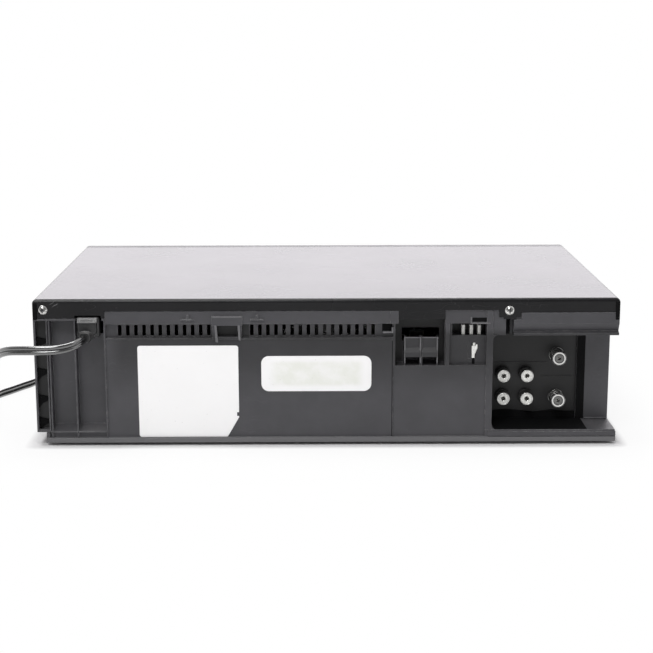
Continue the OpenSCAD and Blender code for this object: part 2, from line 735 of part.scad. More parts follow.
function ease(t) = let (c = min(max(t, 0), 1)) c * c * (3 - 2 * c);
function coil_point(turn) =
  let (r = coil_r0 - coil_pitch * (turn < coil_in ? turn : 2 * coil_in - turn), a = -360 * turn)
  [coil_c[0] + r * cos(a), coil_c[1] + r * sin(a),
    coil_z + coil_rise * ease((turn - coil_in + 0.25) * 2)];
coil_turns = coil_in + coil_out;
coil_last = coil_point(coil_turns);
plug_x = coil_c[0] - 38;
plug_z = 8;
coil_line = concat(
  [[coil_c[0] + coil_r0, coil_c[1] + 11, coil_z], [coil_c[0] + coil_r0, coil_c[1] + 6, coil_z]],
  [for (i = [0 : coil_turns * coil_steps]) coil_point(i / coil_steps)],
  [coil_last + [-8, 0, 0], coil_last + [-16, 0, -0.2], coil_last + [-23, 0, -1.2],
    [plug_x + cord_d, coil_last[1], plug_z], [plug_x, coil_last[1], plug_z]]);

echo(lead_length = line_length(lead_line), coil_length = line_length(coil_line));
echo(coil_gap = least_gap(coil_line, cord_d, 8));

module power_cord() {
  color([0.06, 0.06, 0.06]) tube(lead_line, cord_d / 2, 10);
}

module cord_coil() {
  color([0.06, 0.06, 0.06]) tube(coil_line, cord_d / 2, 6);
}

module power_plug() {
  z = plug_z;
  color([0.06, 0.06, 0.06])
  translate([plug_x, coil_last[1], z]) rotate([0, -90, 0]) {
    cylinder(h = 9, r = cord_d / 2 + 1.2);
    translate([0, 0, 9 - e]) linear_extrude(22) rotate(90) round_rect(21, 2 * z - 0.4, 4);
    translate([0, 0, 31 - 2 * e]) linear_extrude(3) rotate(90) round_rect(25, 2 * z - 0.2, 4);
  }
}

module plug_blades() {
  z = plug_z;
  color([0.8, 0.78, 0.7])
  for (s = [-1, 1])
    difference() {
      slab(plug_x - 51, plug_x - 34, coil_last[1] + s * 6.35 - 0.75,
        coil_last[1] + s * 6.35 + 0.75, z - 3.15, z + 3.15);
      rod_y(plug_x - 47, coil_last[1] - 10, coil_last[1] + 10, z, 1.5);
    }
}

// The front panel, its door and its buttons.

small_keys = ["rewind", "play", "forward", "stop", "eject", "record", "down", "up"];
function key_at(i) = [key_x0 + (i % 4) * key_step, key_rows_z[floor(i / 4)]];
window_c = [key_x0 + 1.5 * key_step, body_h - 25.6];

module front_panel() {
  color([0.16, 0.16, 0.17])
  difference() {
    union() {
      difference() {
        slab(-half_w, half_w, face_y, rim_y, 4, body_h);
        slab(-half_w + wall, half_w - wall, plate_y, rim_y + 1, 4 + wall, body_h - wall);
        // top corners, rounded as the cover's bends are
        for (s = [-1, 1])
          difference() {
            slab(s * half_w - (s > 0 ? bend_r : 1), s * half_w + (s > 0 ? 1 : bend_r),
              face_y - 1, rim_y + 1, body_h - bend_r, body_h + 1);
            rod_y(s * (half_w - bend_r), face_y - 2, rim_y + 2, body_h - bend_r, bend_r);
          }
      }
      // lip under the cover and ears of the door's hinge
      slab(-half_w + 12, half_w - 12, rim_y - 1, rim_y + 3, body_h - sheet - wall - 0.2,
        body_h - sheet - 0.2);
      for (s = [-1, 1])
        slab(s * (door_x + 3.7) - 1.7, s * (door_x + 3.7) + 1.7, plate_y - e, rim_y - 1,
          hinge_z - 5, body_h - wall + e);
      // posts that carry the front board
      for (x = [-half_w + 8, -half_w + 52, bay_w / 2 + 7.2, half_w - 6], z = [22, body_h - 35.6])
        rod_y(x, plate_y - e, front_board_y, z, 2.6);
    }
    // cassette mouth
    slab(-door_x - 0.7, door_x + 0.7, face_y - 1, plate_y + 1, door_top - door_h - 0.6,
      door_top + 0.6);
    // display window, seated in a step
    slab(window_c[0] - window_w / 2, window_c[0] + window_w / 2, face_y - 1, face_y + 1.2,
      window_c[1] - window_h / 2, window_c[1] + window_h / 2);
    slab(window_c[0] - window_w / 2 + 3, window_c[0] + window_w / 2 - 3, face_y - 1, plate_y + 1,
      window_c[1] - window_h / 2 + 3, window_c[1] + window_h / 2 - 3);
    // button holes
    for (i = [0 : 7])
      slab(key_at(i)[0] - key_w / 2 - slide_fit, key_at(i)[0] + key_w / 2 + slide_fit,
        face_y - 1, plate_y + 1, key_at(i)[1] - key_h / 2 - slide_fit,
        key_at(i)[1] + key_h / 2 + slide_fit);
    slab(power_key[0] - power_key[2] / 2 - slide_fit, power_key[0] + power_key[2] / 2 + slide_fit,
      face_y - 1, plate_y + 1, power_key[1] - power_key[3] / 2 - slide_fit,
      power_key[1] + power_key[3] / 2 + slide_fit);
    // bores of the door's hinge
    rod_x(-door_x - 6, door_x + 6, hinge_y, hinge_z, hinge_r + run_fit);
    // shallow lines across the face
    slab(-half_w - 1, half_w + 1, face_y - 1, face_y + 0.5, body_h - 44.6, body_h - 43.8);
    slab(-half_w - 1, half_w + 1, face_y - 1, face_y + 0.5, 19, 19.8);
  }
}

module display_window() {
  color([0.05, 0.05, 0.06])
  slab(window_c[0] - window_w / 2, window_c[0] + window_w / 2, face_y, face_y + 1.2,
    window_c[1] - window_h / 2, window_c[1] + window_h / 2);
}

module front_board() {
  color([0.2, 0.33, 0.2]) {
    slab(bay_w / 2 + 3.2, half_w - 3.4, front_board_y, front_board_y + board_t, 16, body_h - 7.6);
    slab(-half_w + 3.4, -half_w + 56, front_board_y, front_board_y + board_t, 16, body_h - 7.6);
    slab(-half_w + 56 - e, bay_w / 2 + 3.2 + e, front_board_y, front_board_y + board_t, 16, 29);
    // display tube behind the window
    slab(window_c[0] - window_w / 2 + 4, window_c[0] + window_w / 2 - 4, front_board_y - 6,
      front_board_y + e, window_c[1] - window_h / 2 + 1, window_c[1] + window_h / 2 - 1);
    // switches behind the buttons
    for (i = [0 : 7])
      key_switch(key_at(i)[0], key_at(i)[1]);
    key_switch(power_key[0], power_key[1]);
  }
}

stem_y = front_board_y - 3.4;

module key_switch(x, z) {
  slab(x - 3, x + 3, stem_y + key_travel + 0.6, front_board_y + e, z - 3, z + 3);
  rod_y(x, stem_y + key_travel + 0.1, front_board_y, z, 1.6);
}

module key_cap(x, z, w, h) {
  color([0.23, 0.23, 0.24]) {
    difference() {
      slab(x - w / 2, x + w / 2, front_y, plate_y + e, z - h / 2, z + h / 2);
      // a shallow dish in the cap
      translate([x, front_y - 30 + 0.35, z]) rotate([0, 90, 0])
        translate([0, 0, -w / 2 + 1]) cylinder(h = w - 2, r = 30.05, $fn = 200);
    }
    slab(x - w / 2 - 1, x + w / 2 + 1, plate_y, plate_y + 1, z - h / 2 - 1, z + h / 2 + 1);
    rod_y(x, plate_y, stem_y, z, 1.5);
  }
}

module small_key(i) {
  key_cap(key_at(i)[0], key_at(i)[1], key_w, key_h);
}

module button_power() { key_cap(power_key[0], power_key[1], power_key[2], power_key[3]); }
module button_rewind() { small_key(0); }
module button_play() { small_key(1); }
module button_forward() { small_key(2); }
module button_stop() { small_key(3); }
module button_eject() { small_key(4); }
module button_record() { small_key(5); }
module button_channel_down() { small_key(6); }
module button_channel_up() { small_key(7); }

module cassette_door() {
  color([0.14, 0.14, 0.15]) {
    slab(-door_x, door_x, face_y + 0.2, face_y + 0.2 + door_t, door_top - door_h, door_top);
    for (s = [-1, 1]) {
      difference() {
        union() {
          slab(s * (door_x - 1) - 1, s * (door_x - 1) + 1, face_y + door_t, hinge_y,
            hinge_z - 2.2, door_top - 0.1);
          rod_x(s * (door_x - 1) - 1, s * (door_x - 1) + 1, hinge_y, hinge_z, 2.2);
        }
        slab(-door_x - 1, door_x + 1, hinge_y, hinge_y + 5, hinge_z + 2, hinge_z + 9);
      }
      rod_x(s > 0 ? door_x - e : -door_x - 4.6, s > 0 ? door_x + 4.6 : -door_x + e,
        hinge_y, hinge_z, hinge_r);
    }
    // inner stub that carries the spring
    rod_x(door_x - 9.5, door_x - 2 + e, hinge_y, hinge_z, 1.3);
  }
}

// one closing spring, wound round the stub of the door's hinge
spring_turns = 5;
spring_wire = 0.25;
spring_pitch = 1.05;
spring_r = 1.62 + run_fit;
spring_x = door_x - 8.6;
spring_line = concat(
  [[spring_x, hinge_y - spring_r, hinge_z - 6]],
  [for (i = [0 : spring_turns * 8])
    [spring_x + spring_pitch * i / 8, hinge_y - spring_r * sin(90 + 45 * i),
      hinge_z - spring_r * cos(90 + 45 * i)]],
  [[spring_x + spring_pitch * spring_turns, hinge_y - spring_r, hinge_z + 1.5]]);

echo(spring_gap = least_gap(spring_line, 2 * spring_wire, 6));

module door_spring() {
  color([0.7, 0.7, 0.7]) tube(spring_line, spring_wire, 6, [1, 0, 0]);
}

// The boards and the power supply.

module main_board() {
  color([0.22, 0.36, 0.22])
  difference() {
    slab(-half_w + 7, deck_x - 0.5, rim_y + 12, panel_back - 4.5, board_z, board_z + board_t);
    for (p = deck_leg)
      rod_z(p[0], p[1], 0, board_z + 5, leg_r + 0.8);
  }
}

// a chip with its rows of legs, on a board
module chip(x, y, l, w, h, z) {
  slab(x - l / 2, x + l / 2, y - w / 2, y + w / 2, z + 0.6, z + 0.6 + h);
  for (s = [-1, 1])
    slab(x - l / 2 + 1, x + l / 2 - 1, y + s * (w / 2 + 0.4) - 0.5, y + s * (w / 2 + 0.4) + 0.5,
      z, z + 1.6);
}

module board_parts() {
  z = board_z + board_t;
  color([0.09, 0.09, 0.1]) {
    for (p = [[-150, -60], [-150, -20], [-70, -70], [-20, -40], [40, -70]])
      chip(p[0] * kx, p[1], 34, 11, 3, z);
    for (i = [0 : 5])
      rod_z((-170 + (i % 3) * 17) * kx, 8 + floor(i / 3) * 17, z, z + 14 + (i % 2) * 6, 4.5);
    for (i = [0 : 2])
      rod_z(-122 * kx, 12 + i * 14, z, z + 22, 5);
    for (i = [0 : 3])
      slab(-120 * kx, -120 * kx + 7, -80 + i * 16, -70 + i * 16, z, z + 9);
  }
}

power_top = board_z + board_t;

module power_board() {
  color([0.55, 0.45, 0.25]) {
    slab(deck_x + 4, half_w - 7, -38, rear_y - 12, board_z, power_top);
    // inlet wires from the cord bushing down to the board
    for (x = [151.4 * kx, 151.4 * kx + 4]) {
      rod_y(x, rear_y - 20, rear_y - 16, 78 * kz, 1.1);
      translate([x, rear_y - 20, 78 * kz]) sphere(1.1);
      rod_z(x, rear_y - 20, power_top - e, 78 * kz, 1.1);
    }
    // fuse in its clips
    rod_x(half_w - 40, half_w - 20, 76, power_top + 5, 2.6);
    for (x = [half_w - 37, half_w - 23])
      slab(x - 1.5, x + 1.5, 73, 79, power_top - e, power_top + 4);
    // smoothing capacitors
    rod_z(deck_x + 22.2, 78, power_top - e, power_top + 42, 11);
    for (i = [0 : 2])
      rod_z(deck_x + 10, -24 + i * 15, power_top - e, power_top + 24, 5);
  }
}

module transformer() {
  x = half_w - 32;
  y = 36;
  color([0.12, 0.11, 0.1]) {
    for (s = [-1, 1])
      slab(x - 17, x + 17, y + s * 13 - 4, y + s * 13 + 4, power_top + 3, power_top + 33);
    slab(x - 17, x + 17, y - 9 + e, y + 9 - e, power_top + 3, power_top + 9);
    slab(x - 17, x + 17, y - 9 + e, y + 9 - e, power_top + 27, power_top + 33);
    slab(x - 20, x + 20, y - 17, y + 17, power_top, power_top + 3.2);
  }
  color([0.75, 0.6, 0.2])
  rod_z(x, y, power_top + 9 - e, power_top + 27 + e, 8.8);
}

module heat_sink() {
  color([0.68, 0.69, 0.7]) {
    slab(half_w - 52, half_w - 20, -2, 1, power_top, power_top + 44);
    for (i = [0 : 7])
      slab(half_w - 51.5 + i * 4.2, half_w - 50 + i * 4.2, -14, -2 + e, power_top + 6,
        power_top + 44);
  }
  color([0.08, 0.08, 0.08])
  for (x = [half_w - 44, half_w - 28])
    slab(x - 5, x + 5, 1 - e, 5, power_top + 10, power_top + 25);
}

// The deck and what stands on it.

// the straight slot that a guide carriage runs in; s is -1 for the supply side
module guide_slot(s, half_width, z0, z1) {
  translate([s * -guide_a[0] * 1, guide_a[1], 0])
    rotate([0, 0, s < 0 ? guide_ang : 180 - guide_ang]) {
      translate([0, -half_width, z0]) cube([guide_run, 2 * half_width, z1 - z0]);
      for (x = [0, guide_run])
        translate([x, 0, z0]) cylinder(h = z1 - z0, r = half_width);
    }
}

module deck_plate() {
  color([0.74, 0.75, 0.76])
  difference() {
    union() {
      slab(-deck_x, deck_x, deck_y0, deck_y1, deck_z, deck_top);
      // turned-up stiffening lips
      slab(-deck_x, deck_x, deck_y1 - deck_t, deck_y1, deck_top - e, deck_top + 4);
      // pivots
      rod_z(pinch_pivot[0], pinch_pivot[1], deck_top - e, deck_top + 10, 2);
      rod_z(idler_pivot[0], idler_pivot[1], fly_z1 - 0.6, deck_top + 6, 2);
      rod_z(idler_pivot[0], idler_pivot[1], fly_z1 + 4.9, deck_z + e, 4);
      for (p = reel_c)
        rod_z(p[0], p[1], deck_top - e, deck_top + 14, 1.5);
      rod_z(cam_c[0], cam_c[1], deck_top - e, cam_z + 4, 2.5);
      rod_z(tension_pivot[0], tension_pivot[1], deck_top - e, deck_top + 8, 2);
      rod_z(roller_c[0], roller_c[1], deck_top - e, deck_top + 24, 1.2);
    }
    rod_z(drum_c[0], drum_c[1], deck_z - 1, deck_top + 1, 27);
    rod_z(capstan_c[0], capstan_c[1], deck_z - 1, deck_top + 1, 5.6);
    for (s = [-1, 1])
      guide_slot(s, 1.9, deck_z - 1, deck_top + 1);
    for (p = deck_leg)
      rod_z(p[0], p[1], deck_z - 1, deck_top + 1, screw_r + 0.15);
    // lightening windows
    slab(-24, 24, deck_y0 + 4, deck_y0 + 14, deck_z - 1, deck_top + 1);
    slab(52, 84, 64, 74, deck_z - 1, deck_top + 1);
  }
}

// everything on the drum stands about a tilted axis
module on_drum() {
  translate([drum_c[0], drum_c[1], drum_z]) rotate([0, drum_tilt, 0]) children();
}

drum_gap = 0.4;
drum_low = -13.5;
drum_high = 13.5;

module lower_drum() {
  color([0.8, 0.8, 0.8])
  difference() {
    union() {
      on_drum() {
        translate([0, 0, drum_low]) cylinder(h = -drum_low, r = drum_r);
        translate([0, 0, drum_low + 2]) cylinder(h = 1.4, r = drum_r + 0.5);
      }
      // three feet on the deck round the motor's opening
      for (a = [90, 210, 330])
        translate([drum_c[0], drum_c[1], 0]) rotate([0, 0, a])
          translate([24, -5, deck_top]) cube([8, 10, drum_z + drum_low - deck_top + 5]);
    }
    on_drum() {
      translate([0, 0, drum_low - 6]) cylinder(h = 40, r = 3 + run_fit);
      translate([0, 0, -6]) cylinder(h = 10, r = drum_r - 4);
    }
  }
}

module upper_drum() {
  color([0.83, 0.83, 0.83])
  on_drum() difference() {
    union() {
      translate([0, 0, drum_gap]) cylinder(h = drum_high - drum_gap, r = drum_r);
      translate([0, 0, -5.2]) cylinder(h = 5.2 + drum_gap + e, r = drum_r - 5);
    }
    translate([0, 0, drum_high - 5]) cylinder(h = 8, r = drum_r - 6);
    // windows of the four video heads
    for (a = [0, 90, 180, 270])
      rotate([0, 0, a]) translate([drum_r - 2, -1.5, -1]) cube([4, 3, 3]);
    for (a = [45, 225])
      rotate([0, 0, a]) translate([14, 0, drum_high - 6]) cylinder(h = 8, r = 1.4);
    translate([0, 0, -8]) cylinder(h = 40, r = 3 + run_fit);
  }
}

// the motor's rotor under the deck and the shaft that joins it to the upper drum
module drum_motor() {
  color([0.6, 0.6, 0.62])
  on_drum() {
    translate([0, 0, -25.5]) cylinder(h = drum_high + 25.5 - 3, r = 3);
    difference() {
      translate([0, 0, -25.5]) cylinder(h = 8, r = 20);
      translate([0, 0, -25]) difference() {
        cylinder(h = 9, r = 18);
        translate([0, 0, -1]) cylinder(h = 11, r = 6);
      }
    }
    translate([0, 0, -25.5]) cylinder(h = 1.2, r = 19.9);
  }
}

module capstan() {
  color([0.78, 0.78, 0.8])
  translate([capstan_c[0], capstan_c[1], 0]) {
    translate([0, 0, fly_z0]) cylinder(h = guide_top - 1 - fly_z0, r = capstan_r);
    difference() {
      translate([0, 0, fly_z0]) cylinder(h = fly_z1 - fly_z0, r = fly_r);
      translate([0, 0, fly_z0 - 1]) difference() {
        cylinder(h = 5, r = fly_r - 2);
        translate([0, 0, -1]) cylinder(h = 9, r = 6);
      }
    }
    translate([0, 0, fly_z1 - e]) belt_pulley();
  }
}

module capstan_motor() {
  color([0.3, 0.42, 0.3])
  difference() {
    slab(capstan_c[0] - 28, capstan_c[0] + 28, capstan_c[1] - 28, capstan_c[1] + 30,
      board_z + board_t, board_z + board_t + 1.4);
    rod_z(capstan_c[0], capstan_c[1], 0, 20, 3);
  }
  // bearing sleeve through the deck
  color([0.72, 0.66, 0.42])
  translate([capstan_c[0], capstan_c[1], 0]) difference() {
    union() {
      translate([0, 0, fly_z1 + 5]) cylinder(h = deck_top + 2.2 - fly_z1 - 5, r = 5);
      translate([0, 0, deck_z - 2]) cylinder(h = 2, r = 9);
    }
    translate([0, 0, 0]) cylinder(h = 60, r = capstan_r + run_fit);
  }
}

module drive_belt() {
  d = [capstan_c[0] - idler_pivot[0], capstan_c[1] - idler_pivot[1]];
  color([0.08, 0.08, 0.08])
  translate([idler_pivot[0], idler_pivot[1], belt_z]) rotate([0, 0, atan2(d[1], d[0])])
    linear_extrude(1.6) difference() {
      belt_shape(norm(d), pulley_r - 1 + run_fit + belt_t);
      belt_shape(norm(d), pulley_r - 1 + run_fit);
    }
}

module belt_shape(l, r) {
  circle(r);
  translate([l, 0]) circle(r);
  translate([0, -r]) square([l, 2 * r]);
}

// idler: a swinging arm with a friction wheel, and the pulley under the deck
module idler() {
  color([0.85, 0.83, 0.75])
  translate([idler_pivot[0], idler_pivot[1], 0]) {
    difference() {
      union() {
        translate([0, 0, deck_top + 0.2]) cylinder(h = 5, r = 5);
        translate([-3, 0, deck_top + 0.2]) cube([6, idler_arm_l, 1.8]);
      }
      translate([0, 0, deck_top - 1]) cylinder(h = 20, r = 2 + run_fit);
    }
    translate([0, idler_arm_l, deck_top + 0.2]) cylinder(h = 6, r = idler_r);
  }
}

// a grooved pulley for the belt, its lower face at z = 0
module belt_pulley() {
  difference() {
    cylinder(h = 4.6, r = pulley_r);
    translate([0, 0, 0.9]) difference() {
      cylinder(h = 2.8, r = pulley_r + 1);
      translate([0, 0, -1]) cylinder(h = 5, r = pulley_r - 1);
    }
  }
}

// The belt's other pulley turns on a stub under the deck.
module idler_pulley() {
  color([0.85, 0.83, 0.75])
  translate([idler_pivot[0], idler_pivot[1], fly_z1]) difference() {
    belt_pulley();
    translate([0, 0, -1]) cylinder(h = 9, r = 2 + run_fit);
  }
}

module pinch_arm() {
  p = pinch_open();
  color([0.7, 0.71, 0.72])
  difference() {
    union() {
      rod_z(pinch_pivot[0], pinch_pivot[1], deck_top + 0.2, deck_top + 9.6, 4.6);
      translate([pinch_pivot[0], pinch_pivot[1], deck_top + 0.4])
        rotate([0, 0, pinch_dir()]) translate([3.5, -3, 0]) cube([pinch_len() - 5.5, 6, 1.8]);
      rod_z(p[0], p[1], deck_top + 0.2, deck_top + 2.5, 4);
      rod_z(p[0], p[1], deck_top + 1.2, guide_top - 2, 1.6);
    }
    rod_z(pinch_pivot[0], pinch_pivot[1], 0, 100, 2 + run_fit);
  }
}

function pinch_len() = norm(pinch_shut - pinch_pivot);
function pinch_dir() =
  atan2(pinch_shut[1] - pinch_pivot[1], pinch_shut[0] - pinch_pivot[0]) + pinch_swing;
function pinch_open() = pinch_pivot + pinch_len() * [cos(pinch_dir()), sin(pinch_dir())];

module pinch_roller() {
  p = pinch_open();
  color([0.07, 0.07, 0.07])
  difference() {
    rod_z(p[0], p[1], deck_top + 3, guide_top - 4, pinch_r);
    rod_z(p[0], p[1], 0, 100, 1.6 + run_fit);
  }
}

// a reel table: toothed rim, hub and a splined spindle
module reel_table(p) {
  color([0.9, 0.89, 0.85])
  translate([p[0], p[1], 0]) difference() {
    union() {
      translate([0, 0, reel_z]) cylinder(h = 3.2, r = reel_r - 1);
      translate([0, 0, reel_z + 0.6]) gear_disc(reel_r, 60, 2, 0.9);
      translate([0, 0, reel_z + 3.2 - e]) cylinder(h = 2, r = 11);
      translate([0, 0, reel_z]) cylinder(h = 17, r = 4.6);
      for (a = [0, 120, 240])
        rotate([0, 0, a]) translate([0, -0.9, reel_z + 5]) cube([6.4, 1.8, 9]);
    }
    translate([0, 0, 0]) cylinder(h = reel_z + 14.5, r = 1.5 + run_fit);
    // ring of sensor windows
    for (i = [0 : 7])
      rotate([0, 0, i * 45]) translate([14.2, 0, reel_z - 1]) cylinder(h = 6, r = 1.6);
  }
}

module reel_supply() { reel_table(reel_c[0]); }
module reel_takeup() { reel_table(reel_c[1]); }

// a disc with straight-sided teeth round it
module gear_disc(r, teeth, t, depth) {
  linear_extrude(t) {
    circle(r - depth);
    for (i = [0 : teeth - 1])
      rotate(360 * i / teeth) polygon([[r - depth - 0.4, -0.3 * 3.14 * 2 * r / teeth],
        [r, -0.16 * 3.14 * 2 * r / teeth], [r, 0.16 * 3.14 * 2 * r / teeth],
        [r - depth - 0.4, 0.3 * 3.14 * 2 * r / teeth]]);
  }
}

module cam_gear() {
  color([0.88, 0.86, 0.8])
  translate([cam_c[0], cam_c[1], 0]) difference() {
    union() {
      translate([0, 0, cam_z]) gear_disc(cam_r, 40, 4, 1.5);
      translate([0, 0, deck_top + 0.2]) cylinder(h = cam_z - deck_top, r = 6);
    }
    translate([0, 0, 0]) cylinder(h = 90, r = 2.5 + run_fit);
    // the cam's spiral track, as three arcs of growing radius
    for (i = [0 : 2])
      rotate([0, 0, i * 100]) translate([0, 0, cam_z + 2.4])
        rotate_extrude(angle = 96) translate([7.5 + i * 2.6, 0]) square([1.8, 3]);
  }
}

worm_x = cam_c[0];

module loading_motor() {
  color([0.66, 0.67, 0.68]) {
    rod_x(worm_x + 13.5, worm_x + 32, motor_y, motor_z, 8.6);
    rod_x(worm_x + 9.4, worm_x + 13.5 + e, motor_y, motor_z, 3.2);
    // cradle under the motor and bearing of the worm's free end
    slab(worm_x + 15, worm_x + 30, motor_y - 5, motor_y + 5, deck_top, motor_z - 6);
    difference() {
      slab(worm_x - 14, worm_x - 11, motor_y - 4, motor_y + 4, deck_top, motor_z + 4);
      rod_x(worm_x - 20, worm_x, motor_y, motor_z, 1.2 + run_fit);
    }
  }
}

module worm() {
  color([0.9, 0.88, 0.8])
  translate([worm_x - 9, motor_y, motor_z]) rotate([0, 90, 0])
    linear_extrude(18, twist = -360 * 5, slices = 40)
      translate([0.7, 0]) circle(worm_r - 0.7, $fn = 8);
  color([0.7, 0.7, 0.7])
  rod_x(worm_x - 13.4, worm_x - 9 + 1, motor_y, motor_z, 1.2);
}

// a guide carriage at the cassette's mouth; s is -1 on the supply side
module guide_post(s) {
  x = s * -guide_a[0];
  y = guide_a[1];
  color([0.82, 0.8, 0.72]) {
    difference() {
      slab(x - 4.4, x + 4.4, y - 5, y + 4.6, deck_top + 0.2, deck_top + 4);
    }
    rod_z(x, y, deck_z - 1.6, deck_top + 1, 1.6);
    rod_z(x, y, deck_z - 2.6, deck_z - 0.3, 3);
  }
  color([0.85, 0.85, 0.86]) {
    rod_z(x, y, deck_top + 3, guide_top, 1.4);
    rod_z(x, y, deck_top + 5, guide_top - 3, guide_r);
    rod_z(x, y, guide_top - 1.4, guide_top, guide_r + 0.6);
    // slanted pole beside the roller
    translate([x + s * 0, y - 3.4, deck_top + 3.6]) rotate([-4, s * 3, 0])
      cylinder(h = 20, r = 1);
  }
}

module guide_supply() { guide_post(-1); }
module guide_takeup() { guide_post(1); }

// fixed tape parts: full erase head, audio and control head, and plain poles
module tape_heads() {
  color([0.75, 0.75, 0.76]) {
    slab(-70, -60, 18, 24, deck_top, guide_top - 3);
    slab(-72, -58, 16.6, 26, deck_top, deck_top + 3);
    translate([57, 57, 0]) rotate([0, 0, -40]) {
      slab(-5, 5, -3, 4, deck_top, guide_top - 2);
      slab(-5.6, 5.6, -4, 7, deck_top, deck_top + 3);
    }
    rod_z(55, 18, deck_top, guide_top - 3, 1.6);
    rod_z(55, 18, deck_top, deck_top + 2.4, 4);
  }
}

module impedance_roller() {
  color([0.8, 0.8, 0.78])
  difference() {
    rod_z(roller_c[0], roller_c[1], deck_top + 3, deck_top + 22, 4);
    rod_z(roller_c[0], roller_c[1], 0, 100, 1.2 + run_fit);
  }
}

module tension_arm() {
  color([0.7, 0.71, 0.72])
  difference() {
    union() {
      rod_z(tension_pivot[0], tension_pivot[1], deck_top + 0.2, deck_top + 6, 4);
      slab(tension_pivot[0], tension_pivot[0] + tension_l, tension_pivot[1] - 3,
        tension_pivot[1] + 3, deck_top + 0.2, deck_top + 1.8);
      rod_z(tension_pivot[0] + tension_l, tension_pivot[1], deck_top + 0.2, deck_top + 1.8, 3);
      rod_z(tension_pivot[0] + tension_l, tension_pivot[1], deck_top + 0.2, guide_top - 4, 1.5);
    }
    rod_z(tension_pivot[0], tension_pivot[1], 0, 100, 2 + run_fit);
  }
}

// The cassette holder, its rails and its racks.

module side_rails() {
  top = hold_z1 + 5;
  color([0.72, 0.73, 0.74])
  for (s = [-1, 1])
    difference() {
      union() {
        slab(s * (rail_x + rail_t / 2) - rail_t / 2, s * (rail_x + rail_t / 2) + rail_t / 2,
          deck_y0 - 4, 12, deck_top, top);
        slab(s * (rail_x + 2.4) - 2.4, s * (rail_x + 2.4) + 2.4, deck_y0 + 2, 10, deck_top,
          deck_top + 1.2);
      }
      for (y = lug_y) {
        slab(s * rail_x - 4, s * rail_x + 4, y - holder_out, y, lug_z - lug_r - slide_fit,
          lug_z + lug_r + slide_fit);
        rod_x(s * rail_x - 4, s * rail_x + 4, y - holder_out, lug_z, lug_r + slide_fit);
        slab(s * rail_x - 4, s * rail_x + 4, y - lug_r - slide_fit, y + lug_r + slide_fit,
          lug_z - holder_down, lug_z + e);
        rod_x(s * rail_x - 4, s * rail_x + 4, y, lug_z, lug_r + slide_fit);
        rod_x(s * rail_x - 4, s * rail_x + 4, y, lug_z - holder_down, lug_r + slide_fit);
      }
    }
}

module holder_racks() {
  color([0.9, 0.88, 0.82])
  for (s = [-1, 1])
    difference() {
      union() {
        slab(s * (rack_x + rack_t / 2) - rack_t / 2, s * (rack_x + rack_t / 2) + rack_t / 2,
          -74, -4, lug_z - holder_down - 5.4, lug_z + 6);
        // rack teeth along the lower edge
        for (i = [0 : 21])
          translate([s * (rack_x + rack_t / 2) - rack_t / 2, -72 + i * 3,
            lug_z - holder_down - 6.6]) cube([rack_t, 1.5, 1.3]);
      }
      for (y = lug_y) {
        slab(s * rack_x - 5, s * rack_x + 5, y - lug_r - slide_fit, y + lug_r + slide_fit,
          lug_z - holder_down, lug_z);
        for (z = [lug_z, lug_z - holder_down])
          rod_x(s * rack_x - 5, s * rack_x + 5, y, z, lug_r + slide_fit);
      }
    }
}

module cassette_holder() {
  color([0.76, 0.77, 0.78])
  difference() {
    union() {
      slab(-hold_x, hold_x, hold_y0, hold_y1, hold_z1 - 0.01, hold_z1 + hold_t);
      for (s = [-1, 1]) {
        slab(s * (hold_x - hold_t / 2) - hold_t / 2, s * (hold_x - hold_t / 2) + hold_t / 2,
          hold_y0, hold_y1, hold_z0 - 1.2, hold_z1 + hold_t);
        slab(s * (hold_x - 8) - 8, s * (hold_x - 8) + 8, hold_y0, hold_y1 - 18,
          hold_z0 - 1.2, hold_z0);
        for (y = lug_y)
          rod_x(s > 0 ? hold_x - e : -rack_x - rack_t, s > 0 ? rack_x + rack_t : -hold_x + e,
            y, lug_z, lug_r);
      }
    }
    // windows and sprung fingers in the top
    for (s = [-1, 1]) {
      slab(s * 45 - 30, s * 45 + 30, -66, -40, hold_z1 - 1, hold_z1 + 3);
      slab(s * 45 - 5, s * 45 + 5, -30, -4, hold_z1 - 1, hold_z1 + 3);
    }
  }
  // leaf springs that press on the cassette
  color([0.8, 0.8, 0.8])
  for (s = [-1, 1])
    translate([s * 45 - 4, -4.6, hold_z1 + 0.2]) rotate([6, 0, 0]) translate([0, -22, 0])
      cube([8, 23, 0.5]);
}

// One line for each piece.

chassis();
top_cover();
screws();
rear_labels();
jack_panel();
phono_shells();
phono_cores();
connector_blocks();
tuner_can();
aerial_connectors();
white_pins();
feet();
cord_bushing();
power_cord();
cord_coil();
power_plug();
plug_blades();
front_panel();
display_window();
front_board();
button_power();
button_rewind();
button_play();
button_forward();
button_stop();
button_eject();
button_record();
button_channel_down();
button_channel_up();
main_board();
board_parts();
power_board();
transformer();
heat_sink();
deck_plate();
lower_drum();
upper_drum();
drum_motor();
capstan();
capstan_motor();
pinch_arm();
pinch_roller();
reel_supply();
reel_takeup();
idler();
idler_pulley();
drive_belt();
loading_motor();
worm();
cam_gear();
guide_supply();
guide_takeup();
tape_heads();
tension_arm();
impedance_roller();
side_rails();
holder_racks();
cassette_holder();
cassette_door();
door_spring();
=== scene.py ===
"""Video cassette recorder seen from behind: its cord, labels, jacks, front, transport and finishes.

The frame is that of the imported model: +Z is up and the rear panel faces +Y. Shapes and routes are in
millimetres, which piece() turns into metres. Materials, settings and boxes are in metres.
"""

import json
import math

import bpy
import numpy as np
from bpy.props import FloatProperty, FloatVectorProperty, IntProperty, PointerProperty
from mathutils import Matrix, Vector


